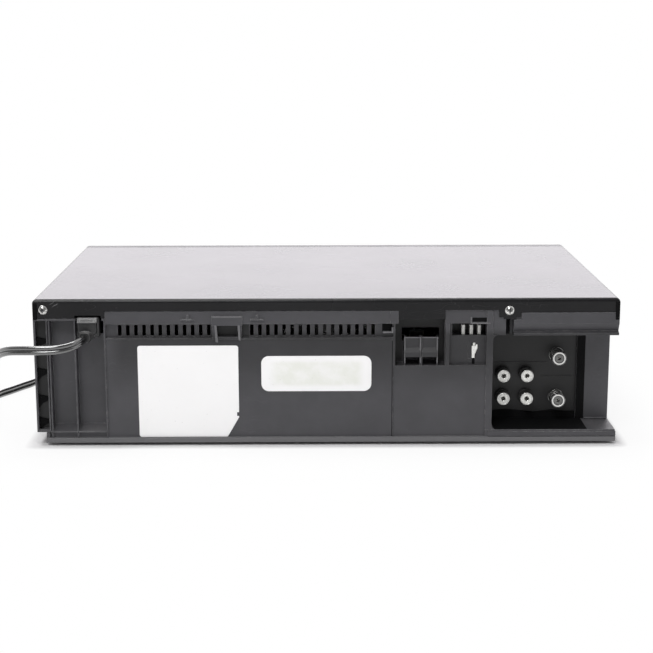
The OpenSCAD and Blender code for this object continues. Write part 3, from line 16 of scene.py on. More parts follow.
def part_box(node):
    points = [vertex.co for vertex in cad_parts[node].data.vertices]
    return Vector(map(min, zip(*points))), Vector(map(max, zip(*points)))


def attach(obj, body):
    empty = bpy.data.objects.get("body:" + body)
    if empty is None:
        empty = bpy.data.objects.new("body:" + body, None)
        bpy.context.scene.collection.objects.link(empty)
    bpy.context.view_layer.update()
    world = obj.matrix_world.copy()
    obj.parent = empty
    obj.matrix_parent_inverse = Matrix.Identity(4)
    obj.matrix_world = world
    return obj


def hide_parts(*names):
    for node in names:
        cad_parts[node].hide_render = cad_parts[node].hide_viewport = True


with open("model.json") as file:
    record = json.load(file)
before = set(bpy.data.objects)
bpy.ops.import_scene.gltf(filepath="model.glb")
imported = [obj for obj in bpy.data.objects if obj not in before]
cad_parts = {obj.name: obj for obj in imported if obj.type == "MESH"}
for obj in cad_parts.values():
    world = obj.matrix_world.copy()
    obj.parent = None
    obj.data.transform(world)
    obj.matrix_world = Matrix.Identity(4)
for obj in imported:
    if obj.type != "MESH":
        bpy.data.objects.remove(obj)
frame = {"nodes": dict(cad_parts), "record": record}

bl_info = {
    "name": "Video cassette recorder",
    "version": (1, 0, 0),
    "blender": (4, 5, 0),
    "location": "3D View > Sidebar > Recorder",
    "description": "Dresses the packed recorder with its cord, labels, jacks, front, transport and finishes",
    "category": "Add Mesh",
}

MM = 0.001
TAU = 2 * math.pi
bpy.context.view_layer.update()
RECORD_SLOTS = {m["slot"] for m in frame["record"].get("materials", [])}

# The camera that the photograph was taken with: yaw, pitch and roll in degrees, its place in metres, its
# focal length and the picture's width in pixels, and the sensor's width in millimetres
CAMERA_TURNS = (-0.323, 11.821, -0.107)
CAMERA_PLACE = (0.0053, 1.0499, 0.2751)
FOCAL, PICTURE, SENSOR = 1473.9, 653, 36.0

# Places on the part, in millimetres
BOARD_TOP = 10.6  # where the sockets and wires inside end
JACK_WALL = 86.0  # the wall of the jack recess, which the jacks and connectors stand on
JACK_TIP, AERIAL_TIP = 95.0, 98.0
JACKS = [(-118.4 - 15.6 * i, 41.0 - 15.6 * j) for j in (0, 1) for i in (0, 1)]
AERIAL_X, AERIAL_Z = -154.6, (53.6, 24.8)
SCREWS = ((183.4, 90.7), (-118.6, 89.6))
HOOKS = (-61.6, -72.6)  # one edge of each tab in the hook bay
BUSHING = (155.5, 74.2)  # where the lead leaves the rear
PLUG_Z = 8.0
KEY_X, KEY_PITCH = 114, 19
DISH, DISH_Y = 30.05, -145.65  # radius of the hollow in the keys' faces, and its middle

# Places that the materials need, in metres
CASE_HALF = (0.19, 0.116)
REAR_FROM = (0.094, 0.1)  # from here on a material is on the rear wall and not under it
SHADE_Z, SHADE_TOP, SHADE_X = (0.03, 0.066), (0.073, 0.078), (0.132, 0.146)  # borders of the painted shade on the upper rear panel
# height where the painted light on the bottom rail of the rear ends
LIT_RAIL_TOP = (0.0052, 0.0056)
SCORED_X, SCORED_Z = 0.1762, 0.0947  # middle of the scored patch in the cover's paint
SMEAR_X, SMEAR_Z = 0.0359, 0.0189  # middle of the dull patch from the labels' upper corner


# Sizes and colours that a user would change


def length(name, description, default, low=0.0, high=1.0):
    return FloatProperty(name=name, description=description, default=default, min=low, max=high,
                         unit="LENGTH", precision=5)


def colour(name, description, default):
    return FloatVectorProperty(name=name, description=description, default=default, size=3,
                               subtype="COLOR", min=0.0, max=1.0)


def amount(name, description, default, high=1.0, **more):
    return FloatProperty(name=name, description=description, default=default, min=0.0, max=high, **more)


class RecorderCordSizes(bpy.types.PropertyGroup):
    width: length("Cord width", "Width of the flat two-core mains cord", 0.006, 0.004, 0.008)
    thickness: length("Cord thickness", "Thickness of each core with its insulation", 0.0031, 0.002, 0.004)
    web: amount("Web", "Half thickness of the web between the cores, as a share of a core's radius", 0.3,
                subtype="FACTOR")
    sides: IntProperty(name="Sides", description="Points round the cord's section", default=36, min=12, max=64)


class RecorderFrontSizes(bpy.types.PropertyGroup):
    print_height: length("Print height", "Thickness of the printed key symbols", 0.00006, 0.00002, 0.0003)
    trim_height: length("Trim height", "Height of the bright line on the cassette door", 0.0012, 0.0005, 0.003)
    segment: length("Display segment", "Width of one segment of the display", 0.0011, 0.0005, 0.002)


class RecorderInsideSizes(bpy.types.PropertyGroup):
    wire: length("Wire radius", "Radius of the insulated wires inside the case", 0.0006, 0.0003, 0.001)
    ribbon: length("Ribbon width", "Width of the flat cables between the boards", 0.016, 0.006, 0.03)
    resistor: length("Resistor length", "Length of a resistor's body", 0.0034, 0.002, 0.006)


class RecorderColours(bpy.types.PropertyGroup):
    cover: colour("Cover paint", "Semi-gloss paint of the steel cover", (0.0085, 0.0083, 0.0092))
    chassis: colour("Chassis", "Moulded plastic of the rear and the base", (0.056, 0.055, 0.061))
    front: colour("Front", "Moulded plastic of the front panel", (0.024, 0.024, 0.026))
    dark: colour("Dark plastic", "Jack panel and connector blocks", (0.0085, 0.0084, 0.009))
    label: colour("Label film", "White film of the blank labels", (0.955, 0.95, 0.95))
    smear: colour("Smear", "Dull patch on the small sticker", (0.83, 0.84, 0.79))
    cord: colour("Cord vinyl", "Glossy vinyl of the mains cord", (0.011, 0.011, 0.0115))
    print_: colour("Print", "Printed symbols of the keys", (0.62, 0.62, 0.63))
    glow: colour("Display", "Colour of the display's segments", (0.10, 0.62, 0.55))


class RecorderStageSettings(bpy.types.PropertyGroup):
    floor: colour("Floor", "Colour of the pale floor", (0.74, 0.735, 0.74))
    sky: amount("Sky light", "Strength of the even light from all round", 0.62, 2.0)
    key: amount("Key lamp", "Power of the large lamp over the camera", 14.5, 200.0, unit="POWER")
    top: amount("Top lamp", "Power of the large lamp overhead", 20.0, 200.0, unit="POWER")
    back: amount("Back lamp", "Power of the wide lamp that the top mirrors", 36.0, 200.0, unit="POWER")
    room: amount("Room", "How bright the side behind the camera looks in reflections", 0.2, subtype="FACTOR")


# Shapes: a shape is its points in millimetres, its four-sided faces and its three-sided faces


def skin(rows, looped=False):
    """Joins neighbours on a grid of points with four-sided faces. Each row is a ring. The last ring joins the
    first when looped is true, and otherwise both are closed by triangles that meet at their mean point. The
    faces are turned round when the signed volume, the sum of a dot (b cross c), is negative."""
    rows = np.asarray(rows, float)
    n, m = rows.shape[:2]
    points = rows.reshape(-1, 3)
    ring, after = np.arange(m), (np.arange(m) + 1) % m
    start = np.arange(n if looped else n - 1)[:, None] * m
    here, beside = (start + ring).ravel(), (start + after).ravel()
    quads = np.stack([here, beside, (beside + m) % (n * m), (here + m) % (n * m)], 1)
    tris = np.zeros((0, 3), int)
    if not looped:
        base = (n - 1) * m
        tris = np.vstack([np.stack([np.full(m, n * m), after, ring], 1),
                          np.stack([np.full(m, n * m + 1), base + ring, base + after], 1)])
        points = np.vstack([points, rows[0].mean(0), rows[-1].mean(0)])
    fan = np.vstack([quads[:, [0, 1, 2]], quads[:, [0, 2, 3]], tris])
    a, b, c = points[fan[:, 0]], points[fan[:, 1]], points[fan[:, 2]]
    if np.einsum("ij,ij->i", a, np.cross(b, c)).sum() < 0:
        quads, tris = quads[:, ::-1], tris[:, ::-1]
    return points, quads, tris


def joined(shapes):
    """One shape from several: the points follow one another and each shape's faces are shifted past them."""
    points, quads, tris, count = [], [], [], 0
    for p, q, t in shapes:
        points.append(p)
        quads.append(q + count)
        tris.append(t + count)
        count += len(p)
    return np.vstack(points), np.vstack(quads), np.vstack(tris)


def repeated(shape, places, turns):
    """Copies of a small shape: each is turned about Z by its angle and moved to its place."""
    points, quads, tris = shape
    c, s = np.cos(turns)[:, None], np.sin(turns)[:, None]
    x, y, z = points.T
    moved = np.stack([c * x - s * y, s * x + c * y, np.broadcast_to(z, (len(places), len(z)))], -1)
    shift = (np.arange(len(places)) * len(points))[:, None, None]
    return ((moved + places[:, None, :]).reshape(-1, 3), (quads[None] + shift).reshape(-1, 4),
            (tris[None] + shift).reshape(-1, 3))


def placed(shape, x=(1, 0, 0), y=(0, 1, 0), z=(0, 0, 1), at=(0, 0, 0)):
    """Moves a shape so that its own X, Y and Z lie along the three given directions and its origin at a point."""
    points, quads, tris = shape
    axes = np.array([x, y, z], float)
    if np.linalg.det(axes) < 0:
        quads, tris = quads[:, ::-1], tris[:, ::-1]
    return points @ axes + np.asarray(at, float), quads, tris


# Where a shape's own X, Y and Z point when its height faces the rear, the front or a side
UPRIGHT = ((1, 0, 0), (0, 0, 1), (0, 1, 0))
FORWARD = ((1, 0, 0), (0, 0, 1), (0, -1, 0))
SIDEWAYS = ((0, 1, 0), (0, 0, 1), (1, 0, 0))


def circle(radius, steps):
    a = np.arange(steps) * TAU / steps
    return radius * np.stack([np.cos(a), np.sin(a)], 1)


def section(width, height, corner, inset=0.0, steps=6):
    """Outline of a rectangle with round corners: four quarter circles of radius corner less inset about
    fixed centres, so that a larger inset moves the whole outline inwards by that much."""
    quarter = np.arange(4)[:, None] * math.pi / 2 + np.linspace(0, math.pi / 2, steps)
    sx = np.array([1, -1, -1, 1])[:, None] * (width / 2 - corner)
    sy = np.array([1, 1, -1, -1])[:, None] * (height / 2 - corner)
    r = corner - inset
    return np.stack([(sx + r * np.cos(quarter)).ravel(), (sy + r * np.sin(quarter)).ravel()], 1)


def refined(outline, parts):
    """Divides each side of an outline into equal parts."""
    outline = np.asarray(outline, float)
    sides = np.linspace(outline, np.roll(outline, -1, 0), parts + 1)[:-1]
    return sides.transpose(1, 0, 2).reshape(-1, 2)


def stacked(outlines, heights):
    """Outlines in a plane, each at its own height."""
    return [np.column_stack([outline, np.full(len(outline), height)]) for outline, height in zip(outlines, heights)]


def pillow(width, height, depth, corner, edge, rounds=4, crown=0.0):
    """A slab with round corners and rounded front edges: the outline is drawn in by edge times one less the
    sine while its height climbs by edge times one less the cosine, and the face swells by crown at its middle."""
    a = np.linspace(0, math.pi / 2, rounds)
    inset = np.concatenate([[0.0], edge * (1 - np.cos(a))])
    lift = np.concatenate([[0.0], depth - edge + edge * np.sin(a)])
    rows = stacked([section(width, height, corner, i) for i in inset], lift)
    for share in (0.66, 0.33):
        rows += stacked([rows[rounds][:, :2] * share], [depth + crown * (1 - share * share)])
    return skin(rows)


def bar(x0, x1, y0, y1, z0, z1, edge=0.1):
    """A bar between two corners with bevelled rims: four rings of a rounded rectangle."""
    w, h, d = x1 - x0, z1 - z0, y1 - y0
    edge = min(edge, 0.45 * min(w, h, d))
    rows = stacked([section(w, h, edge * 1.01, i, 3) for i in (edge, 0, 0, edge)], (0, edge, d - edge, d))
    return placed(skin(rows), *UPRIGHT, at=((x0 + x1) / 2, y0, (z0 + z1) / 2))


def bars(*rows):
    return [bar(*row) for row in rows]


def plate(outline, y0, y1):
    """A flat plate: an outline in X and Z between two depths."""
    return placed(skin(stacked([outline, outline], (y0, y1))), *UPRIGHT)


def rail(x0, x1, outline):
    """An outline in depth and height drawn out along X with flat ends."""
    fine = refined(outline, 3)
    return placed(skin(stacked([fine, fine], (x0, x1))), *SIDEWAYS)


def stroke(outline, surface, lift):
    """A thin printed shape: its outline on a surface y = f(x, z) and the same outline raised by lift towards
    the front."""
    fine = refined(outline, 6)
    middle = fine.mean(0)
    rows = []
    for share, up in ((1.0, -0.02), (1.0, lift), (0.5, lift)):
        x, z = (middle + (fine - middle) * share).T
        rows.append(np.column_stack([x, surface(x, z) - up, z]))
    return skin(rows)


def turned(profile, steps, axis="Y", bored=False):
    """A profile of radius and height carried once round an axis: each point is radius times the cosine and the
    sine of the angle, at its height. A bored one has a closed profile, as a tyre, and no ends."""
    profile = np.asarray(profile, float)
    angle = np.arange(steps) * TAU / steps
    one, two, along = {"X": (1, 2, 0), "Y": (0, 2, 1), "Z": (0, 1, 2)}[axis]
    rows = np.zeros((len(profile), steps, 3))
    rows[..., one] = profile[:, :1] * np.cos(angle)
    rows[..., two] = profile[:, :1] * np.sin(angle)
    rows[..., along] = profile[:, 1:]
    return skin(rows.transpose(1, 0, 2) if bored else rows, bored)


def swept(path, profile, up=(0, 0, 1)):
    """A profile carried along a path: each ring is the path's point plus the profile's first number times the
    side axis, square to the direction and to up, and its second number times the third axis."""
    way = np.gradient(path, axis=0)
    way /= np.linalg.norm(way, axis=1)[:, None]
    side = np.cross(way, np.asarray(up, float))
    side /= np.linalg.norm(side, axis=1)[:, None]
    top = np.cross(side, way)
    return skin(path[:, None] + profile[:, :1] * side[:, None] + profile[:, 1:] * top[:, None])


def smooth_path(points, steps):
    """The smooth curve through chosen points: between b and c it is the usual cubic of a, b, c and d that has
    half of c less a as its slope at b."""
    p = np.asarray(points, float)
    q = np.vstack([p[:1], p, p[-1:]])[:, None, :]
    a, b, c, d = q[:-3], q[1:-2], q[2:-1], q[3:]
    t = (np.arange(steps) / steps)[None, :, None]
    line = 0.5 * (2 * b + (c - a) * t + (2 * a - 5 * b + 4 * c - d) * t ** 2 + (3 * b - 3 * c + d - a) * t ** 3)
    return np.vstack([line.reshape(-1, 3), p[-1:]])


def oval_rows(places, half_a, half_b, power, axes, steps=40):
    """Rings of the oval |a|^n + |b|^n = 1, one at each place: axes gives the two directions that they lie
    along, and the power n runs from 2, round, to 5, almost square."""
    angle = (np.arange(steps) + 0.5) * TAU / steps
    c, s = np.cos(angle), np.sin(angle)
    n = np.asarray(power, float)[:, None]
    a = np.sign(c) * np.abs(c) ** (2 / n) * half_a[:, None]
    b = np.sign(s) * np.abs(s) ** (2 / n) * half_b[:, None]
    one, two = np.array(axes, float)
    return places[:, None, :] + a[..., None] * one + b[..., None] * two


def piece(name, shape, finish, body="case", slot=None, smooth=True, sharp=35.0, replaces=()):
    """Puts a shape into a mesh with foreach_set, gives it its finish, raises an error unless its slot, which is the
    finish's own name unless one is given, is in the record, and lets it ride on a body."""
    points, quads, tris = shape
    slot = slot or finish
    mesh = bpy.data.meshes.new(name)
    mesh.vertices.add(len(points))
    mesh.vertices.foreach_set("co", (points * MM).astype(np.float32).ravel())
    corners = np.concatenate([quads.ravel(), tris.ravel()]).astype(np.int32)
    mesh.loops.add(len(corners))
    mesh.loops.foreach_set("vertex_index", corners)
    mesh.polygons.add(len(quads) + len(tris))
    starts = np.concatenate([np.arange(len(quads)) * 4, len(quads) * 4 + np.arange(len(tris)) * 3])
    mesh.polygons.foreach_set("loop_start", starts.astype(np.int32))
    mesh.update(calc_edges=True)
    if mesh.validate() or slot not in RECORD_SLOTS:
        raise RuntimeError(f"{name}: its mesh has faults, or the record has no slot {slot}")
    if smooth:
        mesh.shade_smooth()
        mesh.set_sharp_from_angle(angle=math.radians(sharp))
    made = bpy.data.objects.new(name, mesh)
    bpy.context.scene.collection.objects.link(made)
    mesh.materials.append(FINISHES[finish])
    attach(made, body)
    if replaces:
        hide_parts(*replaces)
    return made


# Shader nodes: each effect is a group that is built once and placed in the materials with its own values

GROUPS = {}
FINISHES = {}


def step(operation):
    """A method that adds one maths node for a value and a second number."""
    return lambda self, other=0.0: self.nodes.get("ShaderNodeMath", {0: self, 1: other}, operation=operation)


class Value:
    """A node's output. A sum, a product or another step of it is one more maths node in its tree."""

    def __init__(self, nodes, socket):
        self.nodes, self.socket = nodes, socket

    __add__, __sub__, __mul__, __truediv__, __pow__ = map(step, ("ADD", "SUBTRACT", "MULTIPLY", "DIVIDE", "POWER"))
    __abs__, larger, fraction, sine, root = map(step, ("ABSOLUTE", "MAXIMUM", "FRACT", "SINE", "SQRT"))

    def __rsub__(self, other):
        return self.nodes.get("ShaderNodeMath", {0: other, 1: self}, operation="SUBTRACT")

    def clamped(self):
        self.socket.node.use_clamp = True
        return self

    def rise(self, low, high, start=0.0, end=1.0):
        """Goes smoothly from start to end while this value goes from low to high."""
        return self.nodes.get("ShaderNodeMapRange", {"Value": self, "From Min": low, "From Max": high,
                                                     "To Min": start, "To Max": end}, interpolation_type="SMOOTHSTEP")

    def fall(self, low, high):
        return self.rise(low, high, 1.0, 0.0)


class Nodes:
    """A node tree with short ways to add what the finishes use."""

    def __init__(self, tree):
        self.tree = tree

    def join(self, socket, value):
        """Links a value to a socket, or sets a constant on it."""
        if isinstance(value, Value):
            self.tree.links.new(value.socket, socket)
        else:
            socket.default_value = value

    def add(self, kind, into=None, **settings):
        """Adds a node: settings are its own properties, and into pairs an input's name or number with a value."""
        made = self.tree.nodes.new(kind)
        for key, value in settings.items():
            setattr(made, key, value)
        for key, value in (into or {}).items():
            self.join(made.inputs[key], value)
        return made

    def get(self, kind, into=None, output=0, **settings):
        """Adds a node and gives one of its outputs."""
        return Value(self, self.add(kind, into, **settings).outputs[output])

    def mix(self, share, a, b):
        """Colour a where share is 0 and colour b where it is 1."""
        a, b = (v if isinstance(v, Value) else (*v, 1.0) for v in (a, b))
        return self.get("ShaderNodeMix", {0: share, 6: a, 7: b}, 2, data_type="RGBA")

    def place(self, stretch=(1, 1, 1), turn=(0, 0, 0)):
        """The point's place on the object in metres, turned and stretched."""
        at = self.get("ShaderNodeTexCoord", output="Object")
        return self.get("ShaderNodeMapping", {"Vector": at, "Rotation": turn, "Scale": stretch})

    def noise(self, scale, detail=2.0, rough=0.5, at=None):
        return self.get("ShaderNodeTexNoise", {"Vector": at or self.place(), "Scale": scale, "Detail": detail,
                                               "Roughness": rough})

    def cells(self, pitch, randomness, distance="EUCLIDEAN"):
        """Distance to the nearest of the points that are strewn over X and Y, pitch of them to the metre."""
        return self.get("ShaderNodeTexVoronoi", {"Vector": self.place((pitch, pitch, 1.0)), "Scale": 1.0,
                                                 "Randomness": randomness}, "Distance", distance=distance)

    def split(self, vector=None):
        """The X, Y and Z of a vector or else of the place on the object."""
        return [Value(self, s) for s in self.add("ShaderNodeSeparateXYZ", {0: vector or self.place()}).outputs]

    def effect(self, name, **values):
        """Places a group with its own values and gives its one output, or all of them in their order."""
        into = {key.replace("_", " ").capitalize(): value for key, value in values.items()}
        outputs = [Value(self, s) for s in self.add("ShaderNodeGroup", into, node_tree=GROUPS[name]).outputs]
        return outputs[0] if len(outputs) == 1 else outputs

    def backdrop_rays(self):
        """1 for the rays that see the backdrop: those from the camera, straight or through glass."""
        rays = self.add("ShaderNodeLightPath").outputs
        return Value(self, rays["Is Camera Ray"]).larger(Value(self, rays["Is Transmission Ray"]))


class Group(Nodes):
    """A new node group: its named inputs, with their starting values, and its named outputs."""

    def __init__(self, name, inputs, outputs):
        GROUPS[name] = bpy.data.node_groups.new(f"Recorder {name}", "ShaderNodeTree")
        super().__init__(GROUPS[name])
        for label, value in inputs.items():
            self.socket(label, "INPUT", isinstance(value, tuple)).default_value = value
        for label in outputs:
            self.socket(label, "OUTPUT", label == "Normal")
        self.given = {s.name: Value(self, s) for s in self.add("NodeGroupInput").outputs}
        self.out = self.add("NodeGroupOutput").inputs

    def socket(self, label, side, vector):
        kind = "NodeSocketVector" if vector else "NodeSocketFloat"
        return self.tree.interface.new_socket(label, in_out=side, socket_type=kind)


def grain_group():
    """Fine moulded or sprayed grain: two noises and cell distances, mixed by height, and a slow mottle."""
    g = Group("grain", {"Scale": 1500.0, "Cells": 0.5, "Mottle scale": 40.0}, ("Height", "Mottle"))
    scale, share = g.given["Scale"], g.given["Cells"]
    cells = g.get("ShaderNodeTexVoronoi", {"Vector": g.place(), "Scale": scale * 0.6}, "Distance", feature="SMOOTH_F1")
    g.join(g.out["Height"], cells * share + g.noise(scale, 3.0, 0.6) * (1.0 - share))
    g.join(g.out["Mottle"], g.noise(g.given["Mottle scale"], 4.0, 0.6).rise(0.3, 0.7))


def edge_group():
    """Worn edges: one less the dot of the true normal and the normal rounded over a radius is large at an
    edge, and a noise breaks it up. The rounded normal softens the edge's highlight."""
    g = Group("edges", {"Radius": 0.0004, "Amount": 0.5, "Break": 220.0}, ("Mask", "Normal"))
    rounded = g.get("ShaderNodeBevel", {"Radius": g.given["Radius"]}, samples=4)
    flat = g.get("ShaderNodeNewGeometry", output="Normal")
    same = g.get("ShaderNodeVectorMath", {0: rounded, 1: flat}, "Value", operation="DOT_PRODUCT")
    broken = g.noise(g.given["Break"], 5.0, 0.65).rise(0.4, 0.62) * 0.8 + 0.2
    g.join(g.out["Mask"], ((1.0 - same).rise(0.02, 0.2) * broken * g.given["Amount"]).clamped())
    g.join(g.out["Normal"], rounded)


def dust_group():
    """Dust: the upward share of the normal, squared, times a cloudy noise and a fine one."""
    g = Group("dust", {"Amount": 0.3, "Scale": 60.0}, ("Mask",))
    up = g.split(g.get("ShaderNodeNewGeometry", output="Normal"))[2].larger() ** 2.0
    cloud = g.noise(g.given["Scale"], 5.0, 0.6).rise(0.35, 0.75, 0.25, 1.0)
    specks = g.noise(2600.0, 1.0).rise(0.62, 0.72, 0.0, 0.8)
    g.join(g.out["Mask"], (up * (cloud * 0.6 + specks) * g.given["Amount"]).clamped())


def scratch_group():
    """Hairline scratches: where a stretched noise passes its middle value the surface is scored, along two
    directions, and a slow noise keeps them to patches."""
    g = Group("scratches", {"Scale": 60.0, "Amount": 0.5, "Width": 0.012}, ("Mask",))
    scale = g.given["Scale"]
    one, two = ((1.0 - abs(g.noise(scale, 1.0, at=g.place((1.0, 9.0, 3.0), turn)) - 0.5) / g.given["Width"]).clamped()
                for turn in ((0.2, 0.5, 0.9), (1.1, -0.4, 2.2)))
    patch = g.noise(scale * 0.5, 3.0).rise(0.5, 0.68)
    g.join(g.out["Mask"], (one.larger(two) * patch * g.given["Amount"]).clamped())


def gloss_group():
    """Handling marks: a base roughness plus a spread times a cloudy noise about its middle."""
    g = Group("gloss", {"Base": 0.5, "Spread": 0.15, "Scale": 25.0}, ("Roughness",))
    cloud = g.noise(g.given["Scale"], 5.0, 0.65) - 0.5
    g.join(g.out["Roughness"], (cloud * g.given["Spread"] + g.given["Base"]).larger(0.03))


def brushed_group():
    """Drawn or machined metal: a noise stretched so that it runs in long fine lines."""
    g = Group("brushed", {"Scale": 900.0, "Stretch": (1.0, 1.0, 0.03)}, ("Height",))
    at = g.get("ShaderNodeTexCoord", output="Object")
    far = g.get("ShaderNodeVectorMath", {0: at, 1: g.given["Stretch"]}, operation="MULTIPLY")
    g.join(g.out["Height"], g.noise(g.given["Scale"], 4.0, 0.7, far))


def shade(tint, share):
    """A darker or brighter colour, no brighter than clean white paint."""
    return tuple(min(c * share, 0.98) for c in tint)


def paler(tint, share):
    return tuple(c + (1 - c) * share for c in tint)


class Look(Nodes):
    """A new material: colours are laid over one another, and then joined with the rest to its shader."""

    def __init__(self, name):
        FINISHES[name] = bpy.data.materials.new(name)
        FINISHES[name].use_nodes = True
        super().__init__(FINISHES[name].node_tree)
        self.tree.nodes.clear()
        self.shader = self.add("ShaderNodeBsdfPrincipled")
        self.surface = self.add("ShaderNodeOutputMaterial").inputs[0]
        self.join(self.surface, Value(self, self.shader.outputs[0]))

    def tone(self, share, tint, low, high):
        """The first colour: the tint times low where share is 0 and times high where it is 1."""
        self.base = self.mix(share, shade(tint, low), shade(tint, high))

    def over(self, share, tint):
        """Lays a colour over what is there by a share."""
        self.base = self.mix(share, self.base, tint)

    def bump(self, height, distance, strength=1.0, normal=None):
        into = {"Height": height, "Distance": distance, "Strength": strength}
        if normal:
            into["Normal"] = normal
        return self.get("ShaderNodeBump", into)

    def set(self, **values):
        """Joins values to the shader's sockets of those names."""
        for key, value in values.items():
            self.join(self.shader.inputs[key.replace("_", " ")], value)

    def done(self, rough, bump, **more):
        self.set(Base_Color=self.base, Roughness=rough, Normal=bump, **more)


def moulded(name, tint, rough=0.5, grain=1600.0, cells=0.55, depth=0.00003, edge=0.35, dust=0.12, radius=0.00025,
            scratch=0.12, worn=0.16, painted_shade_and_light=0.0, **more):
    """Moulded plastic: mottled colour, pale worn edges, dust on its tops, hairlines and a fine grain. Painted shade
    is a dark film on the upper half of the rear panel, and painted light makes the bottom rail under it paler."""
    look = Look(name)
    height, mottle = look.effect("grain", scale=grain, cells=cells)
    edges, normal = look.effect("edges", radius=radius, amount=edge)
    look.tone(mottle, tint, 0.92, 1.09)
    look.over(edges, paler(tint, worn))
    look.over(look.effect("scratches", amount=scratch), paler(tint, 0.22))
    look.over(look.effect("dust", amount=dust), (0.42, 0.41, 0.4))
    if painted_shade_and_light:
        x, y, z = look.split()
        rear = y.rise(*REAR_FROM)
        # Painted shade: a dark film on the upper half of the rear panel, where shade falls under the strip and the
        # visor
        film = z.rise(*SHADE_Z) * z.fall(*SHADE_TOP) * rear * x.fall(*SHADE_X)
        look.over(film * look.noise(22.0, 3.0).rise(0.3, 0.7, 0.8, 1.0) * painted_shade_and_light, (0.001, 0.001, 0.001))
        # Painted light: the bottom rail of the rear is paler, as where the white floor lights it
        look.over(rear * z.fall(*LIT_RAIL_TOP) * 0.8, paler(tint, 0.1))
    gloss = look.effect("gloss", base=rough, spread=0.16)
    look.done(edges * -0.12 + gloss, look.bump(height, depth, 0.7, normal), **more)


def plated(name, tint, rough=0.25, stretch=(1.0, 1.0, 0.04), lines=900.0, depth=0.000006, stain=0.2, metallic=1.0):
    """Bare or plated metal: fine drawn lines, clouded staining, brighter edges and hairline scratches."""
    look = Look(name)
    drawn = look.effect("brushed", scale=lines, stretch=stretch)
    edges, normal = look.effect("edges", radius=0.0002, amount=0.4)
    marks = look.effect("scratches", amount=0.35, scale=90.0)
    look.tone(look.effect("grain", scale=300.0, mottle_scale=55.0)[1] * stain, tint, 1.0, 0.55)
    look.over(drawn * 0.3, shade(tint, 0.7))
    look.over(edges, paler(tint, 0.4))
    gloss = look.effect("gloss", base=rough, spread=0.22, scale=60.0)
    look.done(marks * 0.2 + gloss, look.bump(drawn, depth, 0.6, normal), Metallic=metallic)


def cover_paint(tint):
    """Semi-gloss black paint on folded steel: fine orange peel, hairlines to a paler layer, and one scored
    patch beside a screw, which is a set of thin slanting lines inside a small rectangle."""
    look = Look("cover_paint")
    height, mottle = look.effect("grain", scale=700.0, cells=0.3, mottle_scale=18.0)
    edges, normal = look.effect("edges", radius=0.0009, amount=0.3)
    marks = look.effect("scratches", amount=0.22, scale=46.0, width=0.006)
    look.tone(mottle, tint, 0.85, 1.2)
    look.over(edges.larger(marks), (0.12, 0.12, 0.125))
    x, y, z = look.split()
    slant = x * 0.62 + z + look.noise(260.0) * 0.0035
    patch = abs(x - SCORED_X).fall(0.0018, 0.0034) * abs(z - SCORED_Z).fall(0.001, 0.0026) * y.rise(0.1, 0.11)
    look.over((slant * 430.0).fraction().rise(0.74, 0.9) * patch * 0.6, (0.2, 0.2, 0.205))
    look.over(look.effect("dust", amount=0.04, scale=30.0), (0.4, 0.4, 0.4))
    gloss = look.effect("gloss", base=0.27, spread=0.045, scale=14.0)
    look.done(marks * 0.25 + gloss, look.bump(height, 0.00002, 0.5, normal), IOR=1.32)


def label_film(tint, smear):
    """Blank white film: faint creases, greyed borders, and a dull wiped patch with soft ends on the small
    sticker, which is a slow noise inside the sticker's own rectangle."""
    look = Look("label_film")
    low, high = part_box("rear_labels")
    cloud = look.noise(70.0, 5.0, 0.6)
    fibres = look.noise(520.0, 3.0, at=look.place((1.0, 1.0, 6.0)))
    x, _, z = look.split()
    across, above = abs(x - (low[0] + SMEAR_X)), abs(z - (high[2] - SMEAR_Z))
    look.tone(look.noise(24.0, 4.0).rise(0.4, 0.75, 0.0, 0.25), tint, 1.0, 0.93)
    look.over(fibres * 0.05, (0.7, 0.7, 0.68))
    look.over(across.fall(0.025, 0.0325) * above.fall(0.0062, 0.0098) * cloud.rise(0.32, 0.6, 0.35, 1.0), smear)
    look.over(look.noise(900.0, 1.0).rise(0.74, 0.8, 0.0, 0.5), (0.45, 0.44, 0.42))
    edges, normal = look.effect("edges", radius=0.0004, amount=0.4)
    look.over(edges, (0.6, 0.59, 0.57))
    gloss = look.effect("gloss", base=0.42, spread=0.2, scale=35.0)
    look.done(gloss, look.bump(cloud + fibres * 0.06, 0.0004, 0.25, normal))


def vinyl(name, tint, rough=0.22, coat=0.6, bend=1.5):
    """Glossy soft vinyl: faint scuffs, dust caught on it and a slightly uneven skin."""
    look = Look(name)
    height, mottle = look.effect("grain", scale=420.0, cells=0.1, mottle_scale=30.0)
    marks = look.effect("scratches", amount=0.4, scale=110.0, width=0.02)
    look.tone(mottle, tint, 0.85, 1.25)
    look.over(marks, (0.05, 0.05, 0.05))
    look.over(look.effect("dust", amount=0.14, scale=90.0), (0.3, 0.29, 0.28))
    gloss = look.effect("gloss", base=rough, spread=0.18, scale=45.0)
    look.done(marks * 0.2 + gloss, look.bump(height, 0.00004, 0.35), IOR=bend, Coat_Weight=coat, Coat_IOR=1.6,
              Coat_Roughness=0.08)


def rubber(name, tint, rough=0.78):
    """Matt rubber with a powdery bloom on its raised parts."""
    look = Look(name)
    height, mottle = look.effect("grain", scale=900.0, cells=0.2, mottle_scale=120.0)
    edges, normal = look.effect("edges", radius=0.0004, amount=0.5)
    look.tone(mottle, tint, 0.8, 1.3)
    look.over(edges, paler(tint, 0.14))
    look.over(look.effect("dust", amount=0.3), (0.35, 0.34, 0.32))
    look.done(look.effect("gloss", base=rough, spread=0.15), look.bump(height, 0.00006, 0.6, normal))


